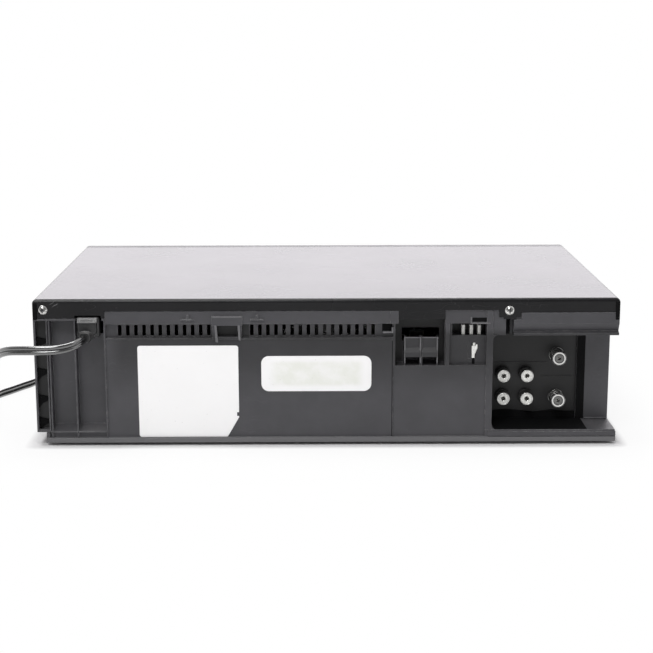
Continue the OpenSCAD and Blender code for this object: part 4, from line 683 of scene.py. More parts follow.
def laminate(name, tint, bare, tracks, pads):
    """Circuit board: solder mask over copper tracks that run along X and Y as square-cornered cells, round
    soldered pads on a grid, glass weave in the bump and a bare fibre edge."""
    look = Look(name)
    band = (look.cells(tracks, 0.85, "CHEBYCHEV") * 5.0).fraction()
    track = band.rise(0.42, 0.5) * band.fall(0.86, 0.94)
    dots = look.cells(pads, 0.45)
    chosen = look.noise(60.0).rise(0.46, 0.5)
    ring = dots.fall(0.2, 0.26) * chosen
    look.tone(look.noise(30.0, 4.0), tint, 0.8, 1.15)
    look.over(track * 0.75, paler(tint, 0.16))
    look.over(ring, (0.62, 0.62, 0.6))
    look.over(dots.fall(0.07, 0.1) * chosen, (0.03, 0.03, 0.03))
    _, y, z = look.split(look.get("ShaderNodeNewGeometry", output="True Normal"))
    look.over(abs(z).larger(abs(y)).fall(0.3, 0.7), bare)
    look.over(look.effect("dust", amount=0.25), (0.4, 0.38, 0.34))
    weave = (look.split()[0] * 9000.0).sine() * 0.12
    look.done(look.effect("gloss", base=0.34, spread=0.2), look.bump(track + ring + weave, 0.00006, 0.6),
              Metallic=ring * 0.8)


def smoked_lens():
    """Smoked acrylic: dark see-through window with a few hairlines in its gloss."""
    look = Look("smoked_lens")
    cloud = look.noise(20.0, 3.0)
    look.base = look.mix(cloud, (0.14, 0.13, 0.14), (0.2, 0.19, 0.2))
    marks = look.effect("scratches", amount=0.6, scale=120.0)
    normal = look.effect("edges", radius=0.0003, amount=0.0)[1]
    look.done(marks * 0.3 + 0.06, look.bump(cloud, 0.00002, 0.2, normal), Transmission_Weight=0.9, IOR=1.49)


def glowing(name, tint, strength, off):
    """Lit segment or lamp: its glow is a little uneven over the surface."""
    look = Look(name)
    cloud = look.noise(900.0)
    look.tone(cloud, off, 0.8, 1.0)
    look.done(look.effect("gloss", base=0.3, spread=0.1), look.bump(cloud, 0.00001, 0.2), Emission_Strength=strength,
              Emission_Color=look.mix(cloud, shade(tint, 0.85), tuple(tint)))


def banded(name, a, b, axis, pitch, metallic, rough):
    """Stacked sheets or wound wire: stripes of two colours along one axis, each pitch wide, with a rounded
    height, so that each turn or sheet shows."""
    look = Look(name)
    wave = abs((look.split()["XYZ".index(axis)] * (math.pi / pitch)).sine())
    look.base = look.mix(wave ** 0.5, b, a)
    look.over(look.noise(160.0, 3.0) * 0.35, shade(a, 0.5))
    look.done(look.effect("gloss", base=rough, spread=0.2), look.bump(wave, pitch * 0.3, 0.8), Metallic=metallic)


def make_finishes(colours):
    """Builds the node groups and every finish of the recorder."""
    for kept in (GROUPS, FINISHES):
        kept.clear()
    for build in (grain_group, edge_group, dust_group, scratch_group, gloss_group, brushed_group):
        build()
    clean = {"grain": 900.0, "cells": 0.1, "depth": 0.00001, "edge": 0.2, "scratch": 0.05}
    cover_paint(colours.cover)
    label_film(colours.label, colours.smear)
    # The chassis carries painted shade on its upper rear panel and painted light on its bottom rail
    moulded("chassis_plastic", colours.chassis, 0.5, 1300.0, depth=0.00004, edge=1.0, dust=0.2, radius=0.0006,
            scratch=0.06, worn=0.2, painted_shade_and_light=0.62)
    moulded("front_plastic", colours.front, 0.42, 1800.0, depth=0.00002, edge=0.3, dust=0.05)
    moulded("black_plastic", colours.dark, 0.5, 1100.0, dust=0.08)
    moulded("key_plastic", paler(colours.front, 0.035), 0.36, 2200.0, depth=0.000012, edge=0.3)
    moulded("white_plastic", (0.8, 0.8, 0.77), 0.32, **clean)
    moulded("core_grey", (0.16, 0.16, 0.155), 0.4, **clean)
    moulded("gear_plastic", (0.78, 0.75, 0.66), 0.38, **{**clean, "grain": 1000.0})
    # Painted shade: a flat black with little gloss for the sheets put where shade falls
    moulded("shade_black", (0.0045, 0.0045, 0.005), 0.72, 1000.0, edge=0.0, dust=0.0, scratch=0.0,
            Specular_IOR_Level=0.1)
    # Painted highlight: a paler grey for the raised rims and lips, whose edges catch the light
    moulded("rim_grey", (0.13, 0.128, 0.135), 0.42, 1300.0, edge=0.5, dust=0.2, radius=0.0003, worn=0.25)
    # Dust on the bushing's upward bevel, and painted light: its plastic is paler than the block's, as where the top
    # lamp falls
    moulded("dusty_black", (0.05, 0.05, 0.052), 0.4, 700.0, 0.8, 0.0003, 0.6, 0.9, worn=0.3)
    moulded("part_black", (0.012, 0.012, 0.013), 0.4, 1500.0, depth=0.00001, dust=0.3)
    moulded("bushing_black", (0.014, 0.014, 0.015), 0.3, 1200.0, 0.7, 0.00012, 0.9, 0.4, 0.0005, worn=0.3)
    moulded("print", colours.print_, 0.45, 1500.0, depth=0.000004, edge=0.1, dust=0.0, scratch=0.2)
    moulded("resistor_tan", (0.5, 0.36, 0.2), 0.4, edge=0.0, dust=0.1, depth=0.000006)
    moulded("lamp_red", (0.2, 0.006, 0.008), 0.14, 600.0, 0.0, 0.000002, 0.1, 0.0, scratch=0.0)
    vinyl("cord_vinyl", colours.cord, 0.2, 1.0, 2.1)
    vinyl("plug_vinyl", shade(colours.cord, 1.2), 0.34)
    vinyl("wire_red", (0.4, 0.02, 0.015), 0.35)
    vinyl("wire_white", (0.62, 0.61, 0.57), 0.4)
    vinyl("wire_black", (0.012, 0.012, 0.012), 0.35)
    rubber("foot_rubber", (0.02, 0.02, 0.02))
    rubber("belt_rubber", (0.016, 0.016, 0.016), 0.6)
    plated("zinc_steel", (0.62, 0.625, 0.62), 0.34, (1.0, 0.05, 1.0), 500.0, stain=0.35)
    plated("nickel", (0.72, 0.715, 0.7), 0.2)
    plated("blade_brass", (0.74, 0.62, 0.38), 0.26, (0.05, 1.0, 1.0), stain=0.35)
    plated("drum_aluminium", (0.82, 0.82, 0.82), 0.2, (0.02, 0.02, 1.0), 2600.0, depth=0.000003, stain=0.06)
    plated("sink_aluminium", (0.7, 0.7, 0.71), 0.42, lines=700.0)
    # A dark steel for painted shade in the screws' slots and the aerial connectors' gaps
    plated("dark_steel", (0.05, 0.05, 0.055), 0.4, metallic=0.6, stain=0.3)
    laminate("board_laminate", (0.02, 0.075, 0.03), (0.42, 0.4, 0.2), 60.0, 190.0)
    laminate("power_laminate", (0.36, 0.21, 0.075), (0.5, 0.36, 0.17), 42.0, 130.0)
    smoked_lens()
    banded("ferrite", (0.035, 0.033, 0.034), (0.012, 0.012, 0.012), "X", 0.0006, 0.3, 0.5)
    banded("copper_winding", (0.62, 0.22, 0.07), (0.2, 0.06, 0.02), "Z", 0.0005, 1.0, 0.3)
    banded("ribbon_grey", (0.33, 0.34, 0.36), (0.16, 0.16, 0.18), "X", 0.00127, 0.0, 0.45)
    glowing("display_lit", colours.glow, 1.2, (0.12, 0.2, 0.19))
    # Painted light: the unlit segments glow faintly
    glowing("display_ghost", shade(colours.glow, 0.05), 0.3, (0.07, 0.085, 0.085))


# Routes that the part's source gives


def lead_route():
    """The free lead from its nose to the coil: the chosen points and the smooth curve between them."""
    nose = np.array([155.5, 124.0, 74.2])
    steps = np.array([[0, 6, 0], [1.1, 11.5, -0.2], [4.5, 17.2, -1.2], [10, 21.2, -2.2], [17.5, 23, -2.8],
                      [27.5, 23.4, -2.9], [37.5, 22, -3.2]])
    way = [[201, 142.6, 70], [207.6, 136, 67], [213, 126.6, 62], [217.4, 114.5, 55], [221.6, 100, 46.5],
           [225.8, 84, 37.5], [230.4, 66, 28], [234.8, 48, 19], [238.8, 31, 11], [242, 15, 5.6], [243, 1.4, 3.4],
           [240.6, -9.6, 3.2], [235, -20, 3.2], [229, -32, 3.2], [223, -44, 3.2], [218, -64, 3.2],
           [211.5, -85, 3.2], [203.5, -106, 3.2], [195.5, -126, 3.2], [190, -144, 3.2], [188, -155, 3.1]]
    return np.vstack([nose, smooth_path(np.vstack([nose + steps, way]), 6), [[188, -161, 3.1]]])


def coil_route(steps=48):
    """The coil: the radius falls by one pitch a turn until the middle turn and then grows again, while the
    height climbs one layer by the smooth step 3t^2 - 2t^3, and it ends straight into the plug."""
    pitch = 6.6
    turn = np.arange(int(5.25 * steps) + 1) / steps
    radius = 42 - pitch * np.where(turn < 2.75, turn, 5.5 - turn)
    angle = -TAU * turn
    climb = np.clip((turn - 2.5) * 2, 0, 1)
    coil = np.stack([146 + radius * np.cos(angle), -172 + radius * np.sin(angle),
                     3.1 + pitch * climb ** 2 * (3 - 2 * climb)], 1)
    end = np.vstack([coil[-1] + [[0, 0, 0], [-8, 0, 0], [-16, 0, -0.2], [-23, 0, -1.2]],
                     [[x, coil[-1][1], PLUG_Z] for x in (114, 108)]])
    return np.vstack([[[188, -166, 3.1]], coil[:-1], smooth_path(end, 4)])


def lead_section(width, thickness, web, sides):
    """Section of a two-core lead: an arc round each core's centre, from its outer end to where the two cores
    meet, but never nearer to the middle plane than the web between them."""
    r = thickness / 2
    c = width / 2 - r
    t = np.linspace(math.pi / 2, -math.asin(min(c / r, 1.0)), sides // 4 + 1)
    a = np.maximum(r * np.cos(t), np.where(t < 0, web * r, 0.0))
    one = np.stack([a, np.maximum(c + r * np.sin(t), 0.0)], 1)
    right = np.vstack([one, (one * [1, -1])[::-1][1:]])
    return np.vstack([right, (right * [-1, 1])[::-1][1:-1]])


# Operators: one for each piece or group of like pieces


class RECORDER_OT_camera(bpy.types.Operator):
    """Place the camera where the photograph of the recorder was taken from"""
    bl_idname = "recorder.camera"
    bl_label = "Camera"

    def execute(self, context):
        yaw, pitch, roll = np.radians(CAMERA_TURNS)
        ahead = np.array([math.sin(yaw), -math.cos(yaw), 0.0])
        right = np.array([-math.cos(yaw), -math.sin(yaw), 0.0])
        up = np.array([0.0, 0.0, 1.0])
        look = ahead * math.cos(pitch) - up * math.sin(pitch)
        top = up * math.cos(pitch) + ahead * math.sin(pitch)
        side = right * math.cos(roll) + top * math.sin(roll)
        top = top * math.cos(roll) - right * math.sin(roll)
        lens = bpy.data.cameras.new("camera")
        lens.sensor_width, lens.sensor_fit = SENSOR, "HORIZONTAL"
        lens.lens = SENSOR * FOCAL / PICTURE
        lens.clip_start, lens.clip_end = 0.01, 50.0
        made = bpy.data.objects.new("camera", lens)
        context.scene.collection.objects.link(made)
        columns = np.column_stack([side, top, -look, CAMERA_PLACE])
        made.matrix_world = Matrix(np.vstack([columns, [0, 0, 0, 1]]).tolist())
        context.scene.camera = made
        return {"FINISHED"}


class RECORDER_OT_finishes(bpy.types.Operator):
    """Build the node groups and finishes, and give every carried-over solid its own"""
    bl_idname = "recorder.finishes"
    bl_label = "Finishes"

    def execute(self, context):
        make_finishes(context.scene.recorder_colours)
        slots = {p["node"]: p["material_slot"] for p in frame["record"]["subparts"]}
        for name, solid in frame["nodes"].items():
            solid.data.materials.clear()
            solid.data.materials.append(FINISHES[slots[name]])
        return {"FINISHED"}


class RECORDER_OT_cord(bpy.types.Operator):
    """Make the flat two-core mains lead, its coil and the moulded plug at its end"""
    bl_idname = "recorder.cord"
    bl_label = "Cord and plug"

    def execute(self, context):
        sizes = context.scene.recorder_cord
        path = np.vstack([lead_route(), coil_route()])
        profile = lead_section(sizes.width / MM, sizes.thickness / MM, sizes.web, sizes.sides)
        lead = piece("mains_lead", swept(path, profile), "cord_vinyl", sharp=60, replaces=("power_cord", "cord_coil"))
        y = path[-1][1]
        x = np.array([109.5, 109.2, 108.6, 107.6, 107.0, 106.4, 105.2, 104.6, 104.0, 102.8, 102.2, 101.6, 100.4, 99.4,
                      98.0, 96.4, 94.6, 92.4, 89.0, 85.0, 81.0, 77.6, 77.2, 76.9, 76.6, 74.5, 74.1, 74.0])
        across = np.array([1.9, 2.5, 2.8, 2.9, 2.3, 3.2, 3.3, 2.6, 3.7, 3.8, 3.0, 4.3, 4.6, 5.4,
                           7.2, 8.8, 9.8, 10.3, 10.0, 9.7, 9.9, 10.5, 10.6, 12.0, 12.4, 12.4, 12.1, 11.6])
        above = np.array([3.1, 3.5, 3.9, 4.0, 3.3, 4.1, 4.2, 3.5, 4.4, 4.5, 3.8, 4.7, 4.9, 5.2,
                          5.9, 6.7, 7.2, 7.5, 7.6, 7.6, 7.7, 7.8, 7.8, 7.9, 7.9, 7.9, 7.7, 7.4])
        power = np.interp(x, [74, 94, 100, 110], [5.0, 4.2, 2.6, 2.3])
        middle = np.column_stack([x, np.full_like(x, y), np.full_like(x, PLUG_Z)])
        grips = [placed(bar(82.4 + i * 2.2, 83.4 + i * 2.2, -7.0, 7.0, 7.3, 7.95, 0.25), at=(0, y, PLUG_Z - 0.1))
                 for i in range(4)]
        plug = piece("mains_plug", joined([skin(oval_rows(middle, across, above, power, SIDEWAYS[:2])), *grips]),
                     "plug_vinyl", slot="cord_vinyl", replaces=("power_plug",))
        path = path * MM  # the route in metres
        return {"FINISHED"}


class RECORDER_OT_strain_relief(bpy.types.Operator):
    """Make the moulded bushing in the rear wall with its ribs and the tapered strain relief under it"""
    bl_idname = "recorder.strain_relief"
    bl_label = "Strain relief"

    def execute(self, context):
        block = placed(pillow(15.0, 13.2, 16.0, 1.6, 1.2), *UPRIGHT, at=(154.5, 100.0, 79.3))
        cap = placed(pillow(13.2, 11.0, 4.8, 3.4, 2.6, 6, 0.2), *UPRIGHT, at=(154.7, 114.4, 79.6))
        ribs = [bar(149.2 + i * 1.75, 150.0 + i * 1.75, 114.9, 118.7, 76.4, 84.6, 0.35) for i in range(7)]
        y = np.array([110.0, 115.6, 116.4, 117.4, 118.0, 118.6, 119.4, 119.9, 120.4, 121.2, 121.7, 122.2, 123.0, 123.6,
                      124.0])
        across = np.array([4.7, 4.7, 4.7, 4.6, 3.9, 4.5, 4.45, 3.7, 4.3, 4.2, 3.5, 4.05, 3.95, 3.6, 3.1])
        above = np.array([3.5, 3.5, 3.5, 3.5, 3.2, 3.5, 3.5, 3.2, 3.5, 3.5, 3.2, 3.45, 3.4, 3.3, 3.1])
        middle = np.column_stack([np.full_like(y, BUSHING[0]), y, np.full_like(y, BUSHING[1])])
        nose = skin(oval_rows(middle, across, above, np.full_like(y, 3.0), UPRIGHT[:2]))
        piece("strain_relief", joined([block, cap, *ribs, nose]), "bushing_black", slot="black_plastic",
              replaces=("cord_bushing",))
        return {"FINISHED"}


class RECORDER_OT_jacks(bpy.types.Operator):
    """Make the rims and contacts of the phono jacks, and the threads, cores and contacts of the aerial connectors"""
    bl_idname = "recorder.jacks"
    bl_label = "Jack contacts"

    def execute(self, context):
        def rings(places, *kinds):
            return joined([placed(turned(profile, steps, bored=True), at=(x, y, z))
                           for x, y, z in places for profile, steps in kinds])

        tips = [(x, JACK_TIP, z) for x, z in JACKS]
        ends = [(AERIAL_X, AERIAL_TIP, z) for z in AERIAL_Z]
        sleeve = [(1.28, -6.5), (1.62, -6.5), (1.62, -0.35), (1.5, -0.2), (1.28, -0.35)]
        lip = [(3.52, -0.5), (3.62, -0.1), (3.88, 0.06), (4.1, -0.1), (4.16, -0.6), (4.16, -1.2), (3.52, -1.2)]
        gap_shade_ring = [(2.9, -0.65), (3.5, -0.65), (3.5, -0.25), (2.9, -0.25)]
        rim = [(4.22, -0.6), (4.74, -0.6), (4.7, 0.0), (4.45, 0.08), (4.22, 0.05)]
        core = [(1.05, -0.5), (2.86, -0.5), (2.86, -0.2), (2.6, -0.12), (1.25, -0.12), (1.05, -0.25)]
        piece("phono_contacts", rings(tips, (sleeve, 28), (lip, 40)), "nickel")
        fork = bar(-0.9, -0.25, -3.2, -0.4, -0.35, 0.35, 0.08)
        forks = [placed(fork, (s, 0, 0), z=(0, 0, s), at=(AERIAL_X, AERIAL_TIP - 4.0, z))
                 for s in (1, -1) for z in AERIAL_Z]
        piece("aerial_contacts", joined(forks), "blade_brass")
        # Painted shade: a dark ring in the gap between each aerial connector's rim and its core
        piece("aerial_gap_shade", rings(ends, (gap_shade_ring, 40), (rim, 48)), "dark_steel", slot="black_plastic")
        piece("aerial_cores", rings(ends, (core, 40)), "core_grey", slot="white_plastic")
        collars = []
        for (x, z), tall in zip(JACKS, (5.0, 5.0, 2.4, 2.4)):
            collar = [(4.2, 0.0), (4.95, 0.0), (4.95, tall - 0.3), (4.65, tall), (4.2, tall)]
            collars.append(rings([(x, JACK_WALL, z)], (collar, 40)))
        piece("phono_collars", joined(collars), "black_plastic")
        turns = np.linspace(0, 8.2 * TAU, 8 * 32 + 1)
        coil = np.stack([4.62 * np.cos(turns), 0.9 + turns / TAU, 4.62 * np.sin(turns)], 1)
        thread = swept(coil, np.array([(-0.1, -0.3), (0.2, 0.0), (-0.1, 0.3), (-0.2, 0.0)]), up=(0, 1, 0))
        piece("aerial_threads", joined([placed(thread, at=(AERIAL_X, JACK_WALL, z)) for z in AERIAL_Z]), "nickel")
        return {"FINISHED"}


class RECORDER_OT_recess(bpy.types.Operator):
    """Lay painted shadow on the foot and the far cheek of the jack recess, and painted shade in the crossed slots
    of the cover's screws
    """
    bl_idname = "recorder.recess"
    bl_label = "Recess lining"

    def execute(self, context):
        # Painted shadow: a black plate with a wavy top at the foot of the recess wall, and black strips on the sill
        # and the far cheek
        foot_shadow = plate([(-108.8, 9.9), (-108.8, 14.6), (-113.0, 15.6), (-121.0, 16.2), (-128.0, 15.6), (-137.0, 13.8),
                       (-145.0, 14.6), (-152.0, 15.8), (-159.0, 15.0), (-165.0, 14.2), (-171.3, 14.8),
                       (-171.3, 9.9)], 86.02, 86.16)
        shade_strips = bars((-171.4, -108.7, 86.1, 114.4, 9.72, 10.1, 0.15),
                      (-173.4, -167.9, 87.9, 88.25, 10.0, 73.0, 0.12))
        piece("recess_shade", joined([*shade_strips, foot_shadow]), "shade_black", slot="black_plastic")
        piece("sill_bead", bar(-189.0, -173.5, 87.8, 89.2, 9.7, 10.9, 0.55), "chassis_plastic")
        # Painted shade: dark bars in the bottoms of the screws' cross recesses
        cross = []
        for x, z in SCREWS:
            cross += bars((x - 1.68, x + 1.68, 115.5, 115.98, z - 0.4, z + 0.4, 0.05),
                          (x - 0.4, x + 0.4, 115.5, 115.97, z - 1.68, z + 1.68, 0.05))
        piece("screw_slot_shade", joined(cross), "dark_steel", slot="nickel")
        return {"FINISHED"}


class RECORDER_OT_rear_trim(bpy.types.Operator):
    """Make the small catches and lips of the moulded rear, its rims in a paler grey of painted highlight,
    and black sheets of painted shade in its slots, bays and channel
    """
    bl_idname = "recorder.rear_trim"
    bl_label = "Rear trim"

    def execute(self, context):
        # Painted shade: black bars and wedges in the slots, under the hook tabs and in the corner channel, where shade
        # falls
        dark = bars((-42.6, -36.2, 111.95, 112.1, 75.6, 80.7, 0.05), (-104.8, -94.7, 113.95, 114.1, 82.1, 84.8, 0.05),
                    (-119.8, -117.2, 105.9, 106.2, 72.4, 83.8, 0.05), (-96.9, -95.1, 110.45, 110.56, 53.2, 57.1, 0.04),
                    (-43.0, -42.6, 113.95, 114.04, 5.3, 69.6, 0.03))
        under_tab = [(113.9, 58.5), (113.6, 58.7), (101.9, 53.0), (102.0, 52.7)]
        dark += [rail(x + 1.0, x + 10.0, under_tab) for x in HOOKS]
        wedge = np.array([(188.7, 0), (181.9, -1.6), (181.9, -3.4), (186.2, -5.6), (188.7, -8.8)])
        dark += [plate(wedge + [0, top], 111.0, 112.2) for top in (72.2, 51.6, 33.6, 18.2)]
        piece("rear_shade", joined(dark), "shade_black", slot="black_plastic")
        # Painted shade: dark sheets on the back walls of the corner channel, the hook bay and the clip window
        shade_sheets = bars(
            (181.6, 188.7, 110.95, 111.05, 11.0, 83.6, 0.04), (-49.6, -44.8, 101.95, 102.15, 54.2, 83.6, 0.05),
            (-77.2, -74.0, 101.95, 102.15, 54.2, 83.6, 0.05), (-74.0, -49.6, 101.95, 102.15, 76.1, 83.6, 0.05),
            (57.0, 72.0, 110.85, 111.0, 72.9, 80.1, 0.05), (50.4, 54.9, 111.95, 112.05, 72.2, 80.3, 0.04))
        piece("bay_shade_sheets", joined(shade_sheets), "black_plastic")
        fills = bars((144.0, 183.8, 107.2, 113.4, 4.7, 9.6, 0.15), (-94.8, -92.3, 108.6, 110.44, 56.8, 69.6, 0.05),
                     (-97.5, -94.7, 108.6, 110.44, 67.5, 69.6, 0.05))
        fills += [bar(x - 0.5, x + 0.5, 107.2, 115.0, 4.7, 9.2, 0.15) for x in (144.0, 163.3, 180.0)]
        fills.append(bar(-43.7, -43.1, 113.8, 114.6, 5.0, 51.8, 0.15))
        strip_end = [(115.78, 81.42), (115.78, 82.0), (115.1, 89.58), (112.0, 89.58), (112.0, 81.42)]
        fills.append(rail(-46.6, -41.25, strip_end))
        piece("rear_fills", joined(fills), "chassis_plastic")
        pins = [bar(x - 1.1, x + 1.1, 101.0, 107.0, 72.0, 78.6, 0.2) for x in (-89.5, -94.8, -100.0)]
        pins += bars((-96.9, -94.9, 104.0, 111.0, 57.2, 65.4, 0.2), (-97.2, -95.6, 109.9, 111.0, 65.6, 67.4, 0.3))
        pins.append(plate([(-96.3, 59.6), (-96.9, 59.9), (-98.6, 63.9), (-98.5, 66.2), (-97.9, 66.4), (-96.3, 64.4)],
                          110.3, 110.95))
        piece("strap_pins", joined(pins), "white_plastic", replaces=("white_pins",))
        # The raised rims are real geometry, and their paler grey is painted highlight on their edges
        rims = bars((-43.4, -36.6, 112.0, 114.4, 74.7, 75.8, 0.25), (-43.4, -42.3, 112.0, 114.4, 75.4, 78.6, 0.25),
                    (-106.6, -93.4, 113.6, 114.9, 80.7, 81.7, 0.3), (-94.4, -93.4, 113.6, 114.6, 81.6, 85.2, 0.25))
        for x in HOOKS:
            rims += bars((x + 0.8, x + 10.2, 111.8, 112.2, 70.9, 71.6, 0.15),
                         (x + 0.05, x + 0.8, 112.6, 112.95, 54.5, 71.8, 0.12))
        rims += bars((-51.4, -50.65, 112.6, 112.95, 54.5, 71.8, 0.12), (54.8, 74.2, 116.35, 116.65, 85.7, 86.5, 0.14))
        rims += [plate([(72.6, 80.3), (71.9, 69.6), (70.4, 69.4), (71.2, 80.3)], 115.2, 116.5),
                 plate([(57.6, 80.3), (57.0, 70.9), (55.7, 70.7), (56.2, 80.3)], 115.2, 116.5)]
        piece("rear_highlight_rims", joined(rims), "rim_grey", slot="chassis_plastic")
        # Dust and painted light on the bushing's top bevel
        bevel = rail(148.4, 160.8, [(115.2, 85.9), (116.6, 85.8), (119.3, 83.4), (119.4, 82.6), (115.2, 82.6)])
        piece("bushing_bevel", bevel, "dusty_black", slot="black_plastic")
        # Painted shade: black bars at the cover's folded top corners, where the folds are in shade
        fold_shade = bars((187.2, 189.9, 115.1, 116.0, 84.4, 95.6, 0.3), (-190.0, -187.4, 115.1, 116.0, 83.6, 95.6, 0.3))
        piece("cover_fold_shade", joined(fold_shade), "shade_black", slot="cover_paint")
        return {"FINISHED"}


def arrow(x, z, size, turns):
    """A triangle whose tip points along a direction, in turns from +X, size from its middle to its corners."""
    angle = (np.arange(3) / 3 + turns) * TAU
    return np.stack([x + size * np.cos(angle), z + size * np.sin(angle)], 1)


def oblong(x0, x1, z0, z1):
    return np.array([[x0, z0], [x1, z0], [x1, z1], [x0, z1]])


RIGHT, UP, LEFT, DOWN = 0.0, 0.25, 0.5, -0.25

# Column and height of each key, and the parts of its symbol about its middle
KEYS = {"rewind": (0, 44.0, [arrow(-1.3, 0, 1.5, LEFT), arrow(1.1, 0, 1.5, LEFT)]),
        "play": (1, 44.0, [arrow(0, 0, 1.8, RIGHT)]),
        "forward": (2, 44.0, [arrow(-1.1, 0, 1.5, RIGHT), arrow(1.3, 0, 1.5, RIGHT)]),
        "stop": (3, 44.0, [oblong(-1.3, 1.3, -1.3, 1.3)]),
        "eject": (0, 31.0, [arrow(0, 0.4, 1.6, UP), oblong(-1.5, 1.5, -1.7, -1.1)]),
        "record": (1, 31.0, [circle(1.4, 16)]),
        "channel_down": (2, 31.0, [arrow(0, 0, 1.5, DOWN)]),
        "channel_up": (3, 31.0, [arrow(0, 0, 1.5, UP)])}


class RECORDER_OT_keys(bpy.types.Operator):
    """Print the plain transport symbols on the keys: each rides on its own key"""
    bl_idname = "recorder.keys"
    bl_label = "Key symbols"

    def execute(self, context):
        lift = context.scene.recorder_front.print_height / MM

        def mark(name, x, z, outlines):
            def dish(_, height):
                return DISH_Y + np.sqrt(DISH ** 2 - (height - z) ** 2)

            strokes = [stroke(outline + [x, z], dish, lift) for outline in outlines]
            piece(f"mark_{name}", joined(strokes), "print", f"button_{name}_body", "white_plastic", smooth=False)

        for name, (column, z, outlines) in KEYS.items():
            mark(name, KEY_X + KEY_PITCH * column, z, outlines)
        angle = np.radians(np.linspace(125, 415, 25))
        dots = [circle(0.26, 6) + p for p in 1.9 * np.stack([np.cos(angle), np.sin(angle)], 1)]
        mark("power", -160, 70, dots + [oblong(-0.25, 0.25, 0.4, 2.6)])
        return {"FINISHED"}


class RECORDER_OT_front(bpy.types.Operator):
    """Make the door's bright line and ridges, the display's segments, the remote eye and the power lamp"""
    bl_idname = "recorder.front"
    bl_label = "Front trim"

    def execute(self, context):
        sizes = context.scene.recorder_front
        line = bar(-92, 92, -115.25, -114.7, 61.2, 61.2 + sizes.trim_height / MM, 0.15)
        piece("door_line", line, "nickel", "door")
        ridges = [bar(-12, 12, -115.05, -114.7, 64.4 + 1.5 * i, 65.1 + 1.5 * i, 0.15) for i in range(4)]
        ridges += [bar(x0, x1, -114.95, -114.7, z0, z1)
                   for x0, x1, z0, z1 in ((-90, 90, 83.2, 83.7), (-90, 90, 70.9, 71.4), (-90, -89.5, 70.9, 83.7),
                                          (89.5, 90, 70.9, 83.7))]
        piece("door_ridges", joined(ridges), "front_plastic", "door")
        w, y = sizes.segment / MM, (-109.28, -109.04)
        lit, ghost = [], []
        for x in (125.0, 135.0, 149.0, 159.0):
            lit.append(bar(x - 2.6, x + 2.6, *y, 72 - w / 2, 72 + w / 2))
            ghost += [bar(x - 2.6, x + 2.6, *y, z - w / 2, z + w / 2) for z in (67.6, 76.4)]
            ghost += [bar(side - w / 2, side + w / 2, *y, z, z + 3.2)
                      for side in (x - 3.4, x + 3.4) for z in (68.3, 72.7)]
        lit += [bar(141.4, 142.6, *y, z - 0.6, z + 0.6) for z in (69.8, 74.2)]
        ghost += [bar(116.4 + i * 5.8, 120.0 + i * 5.8, *y, 64.3, 65.1) for i in range(9)]
        piece("display_lit", joined(lit), "display_lit", slot="smoked_lens")
        piece("display_ghost", joined(ghost), "display_ghost", slot="smoked_lens")
        piece("display_face", bar(113.2, 171.8, -109.06, -108.9, 62.8, 81.2, 0.05), "part_black")
        eye = placed(pillow(6.4, 11.0, 0.8, 2.2, 0.6, crown=0.12), *FORWARD, at=(182.6, -114.9, 72.0))
        piece("remote_eye", eye, "lamp_red", slot="smoked_lens")
        dome = turned([(1.3, 0.0), (1.3, 0.35), (1.15, 0.62), (0.8, 0.8), (0.4, 0.88)], 24)
        piece("power_lamp", placed(dome, y=(0, -1, 0), at=(-143.0, -114.9, 70.0)), "lamp_red", slot="smoked_lens")
        return {"FINISHED"}


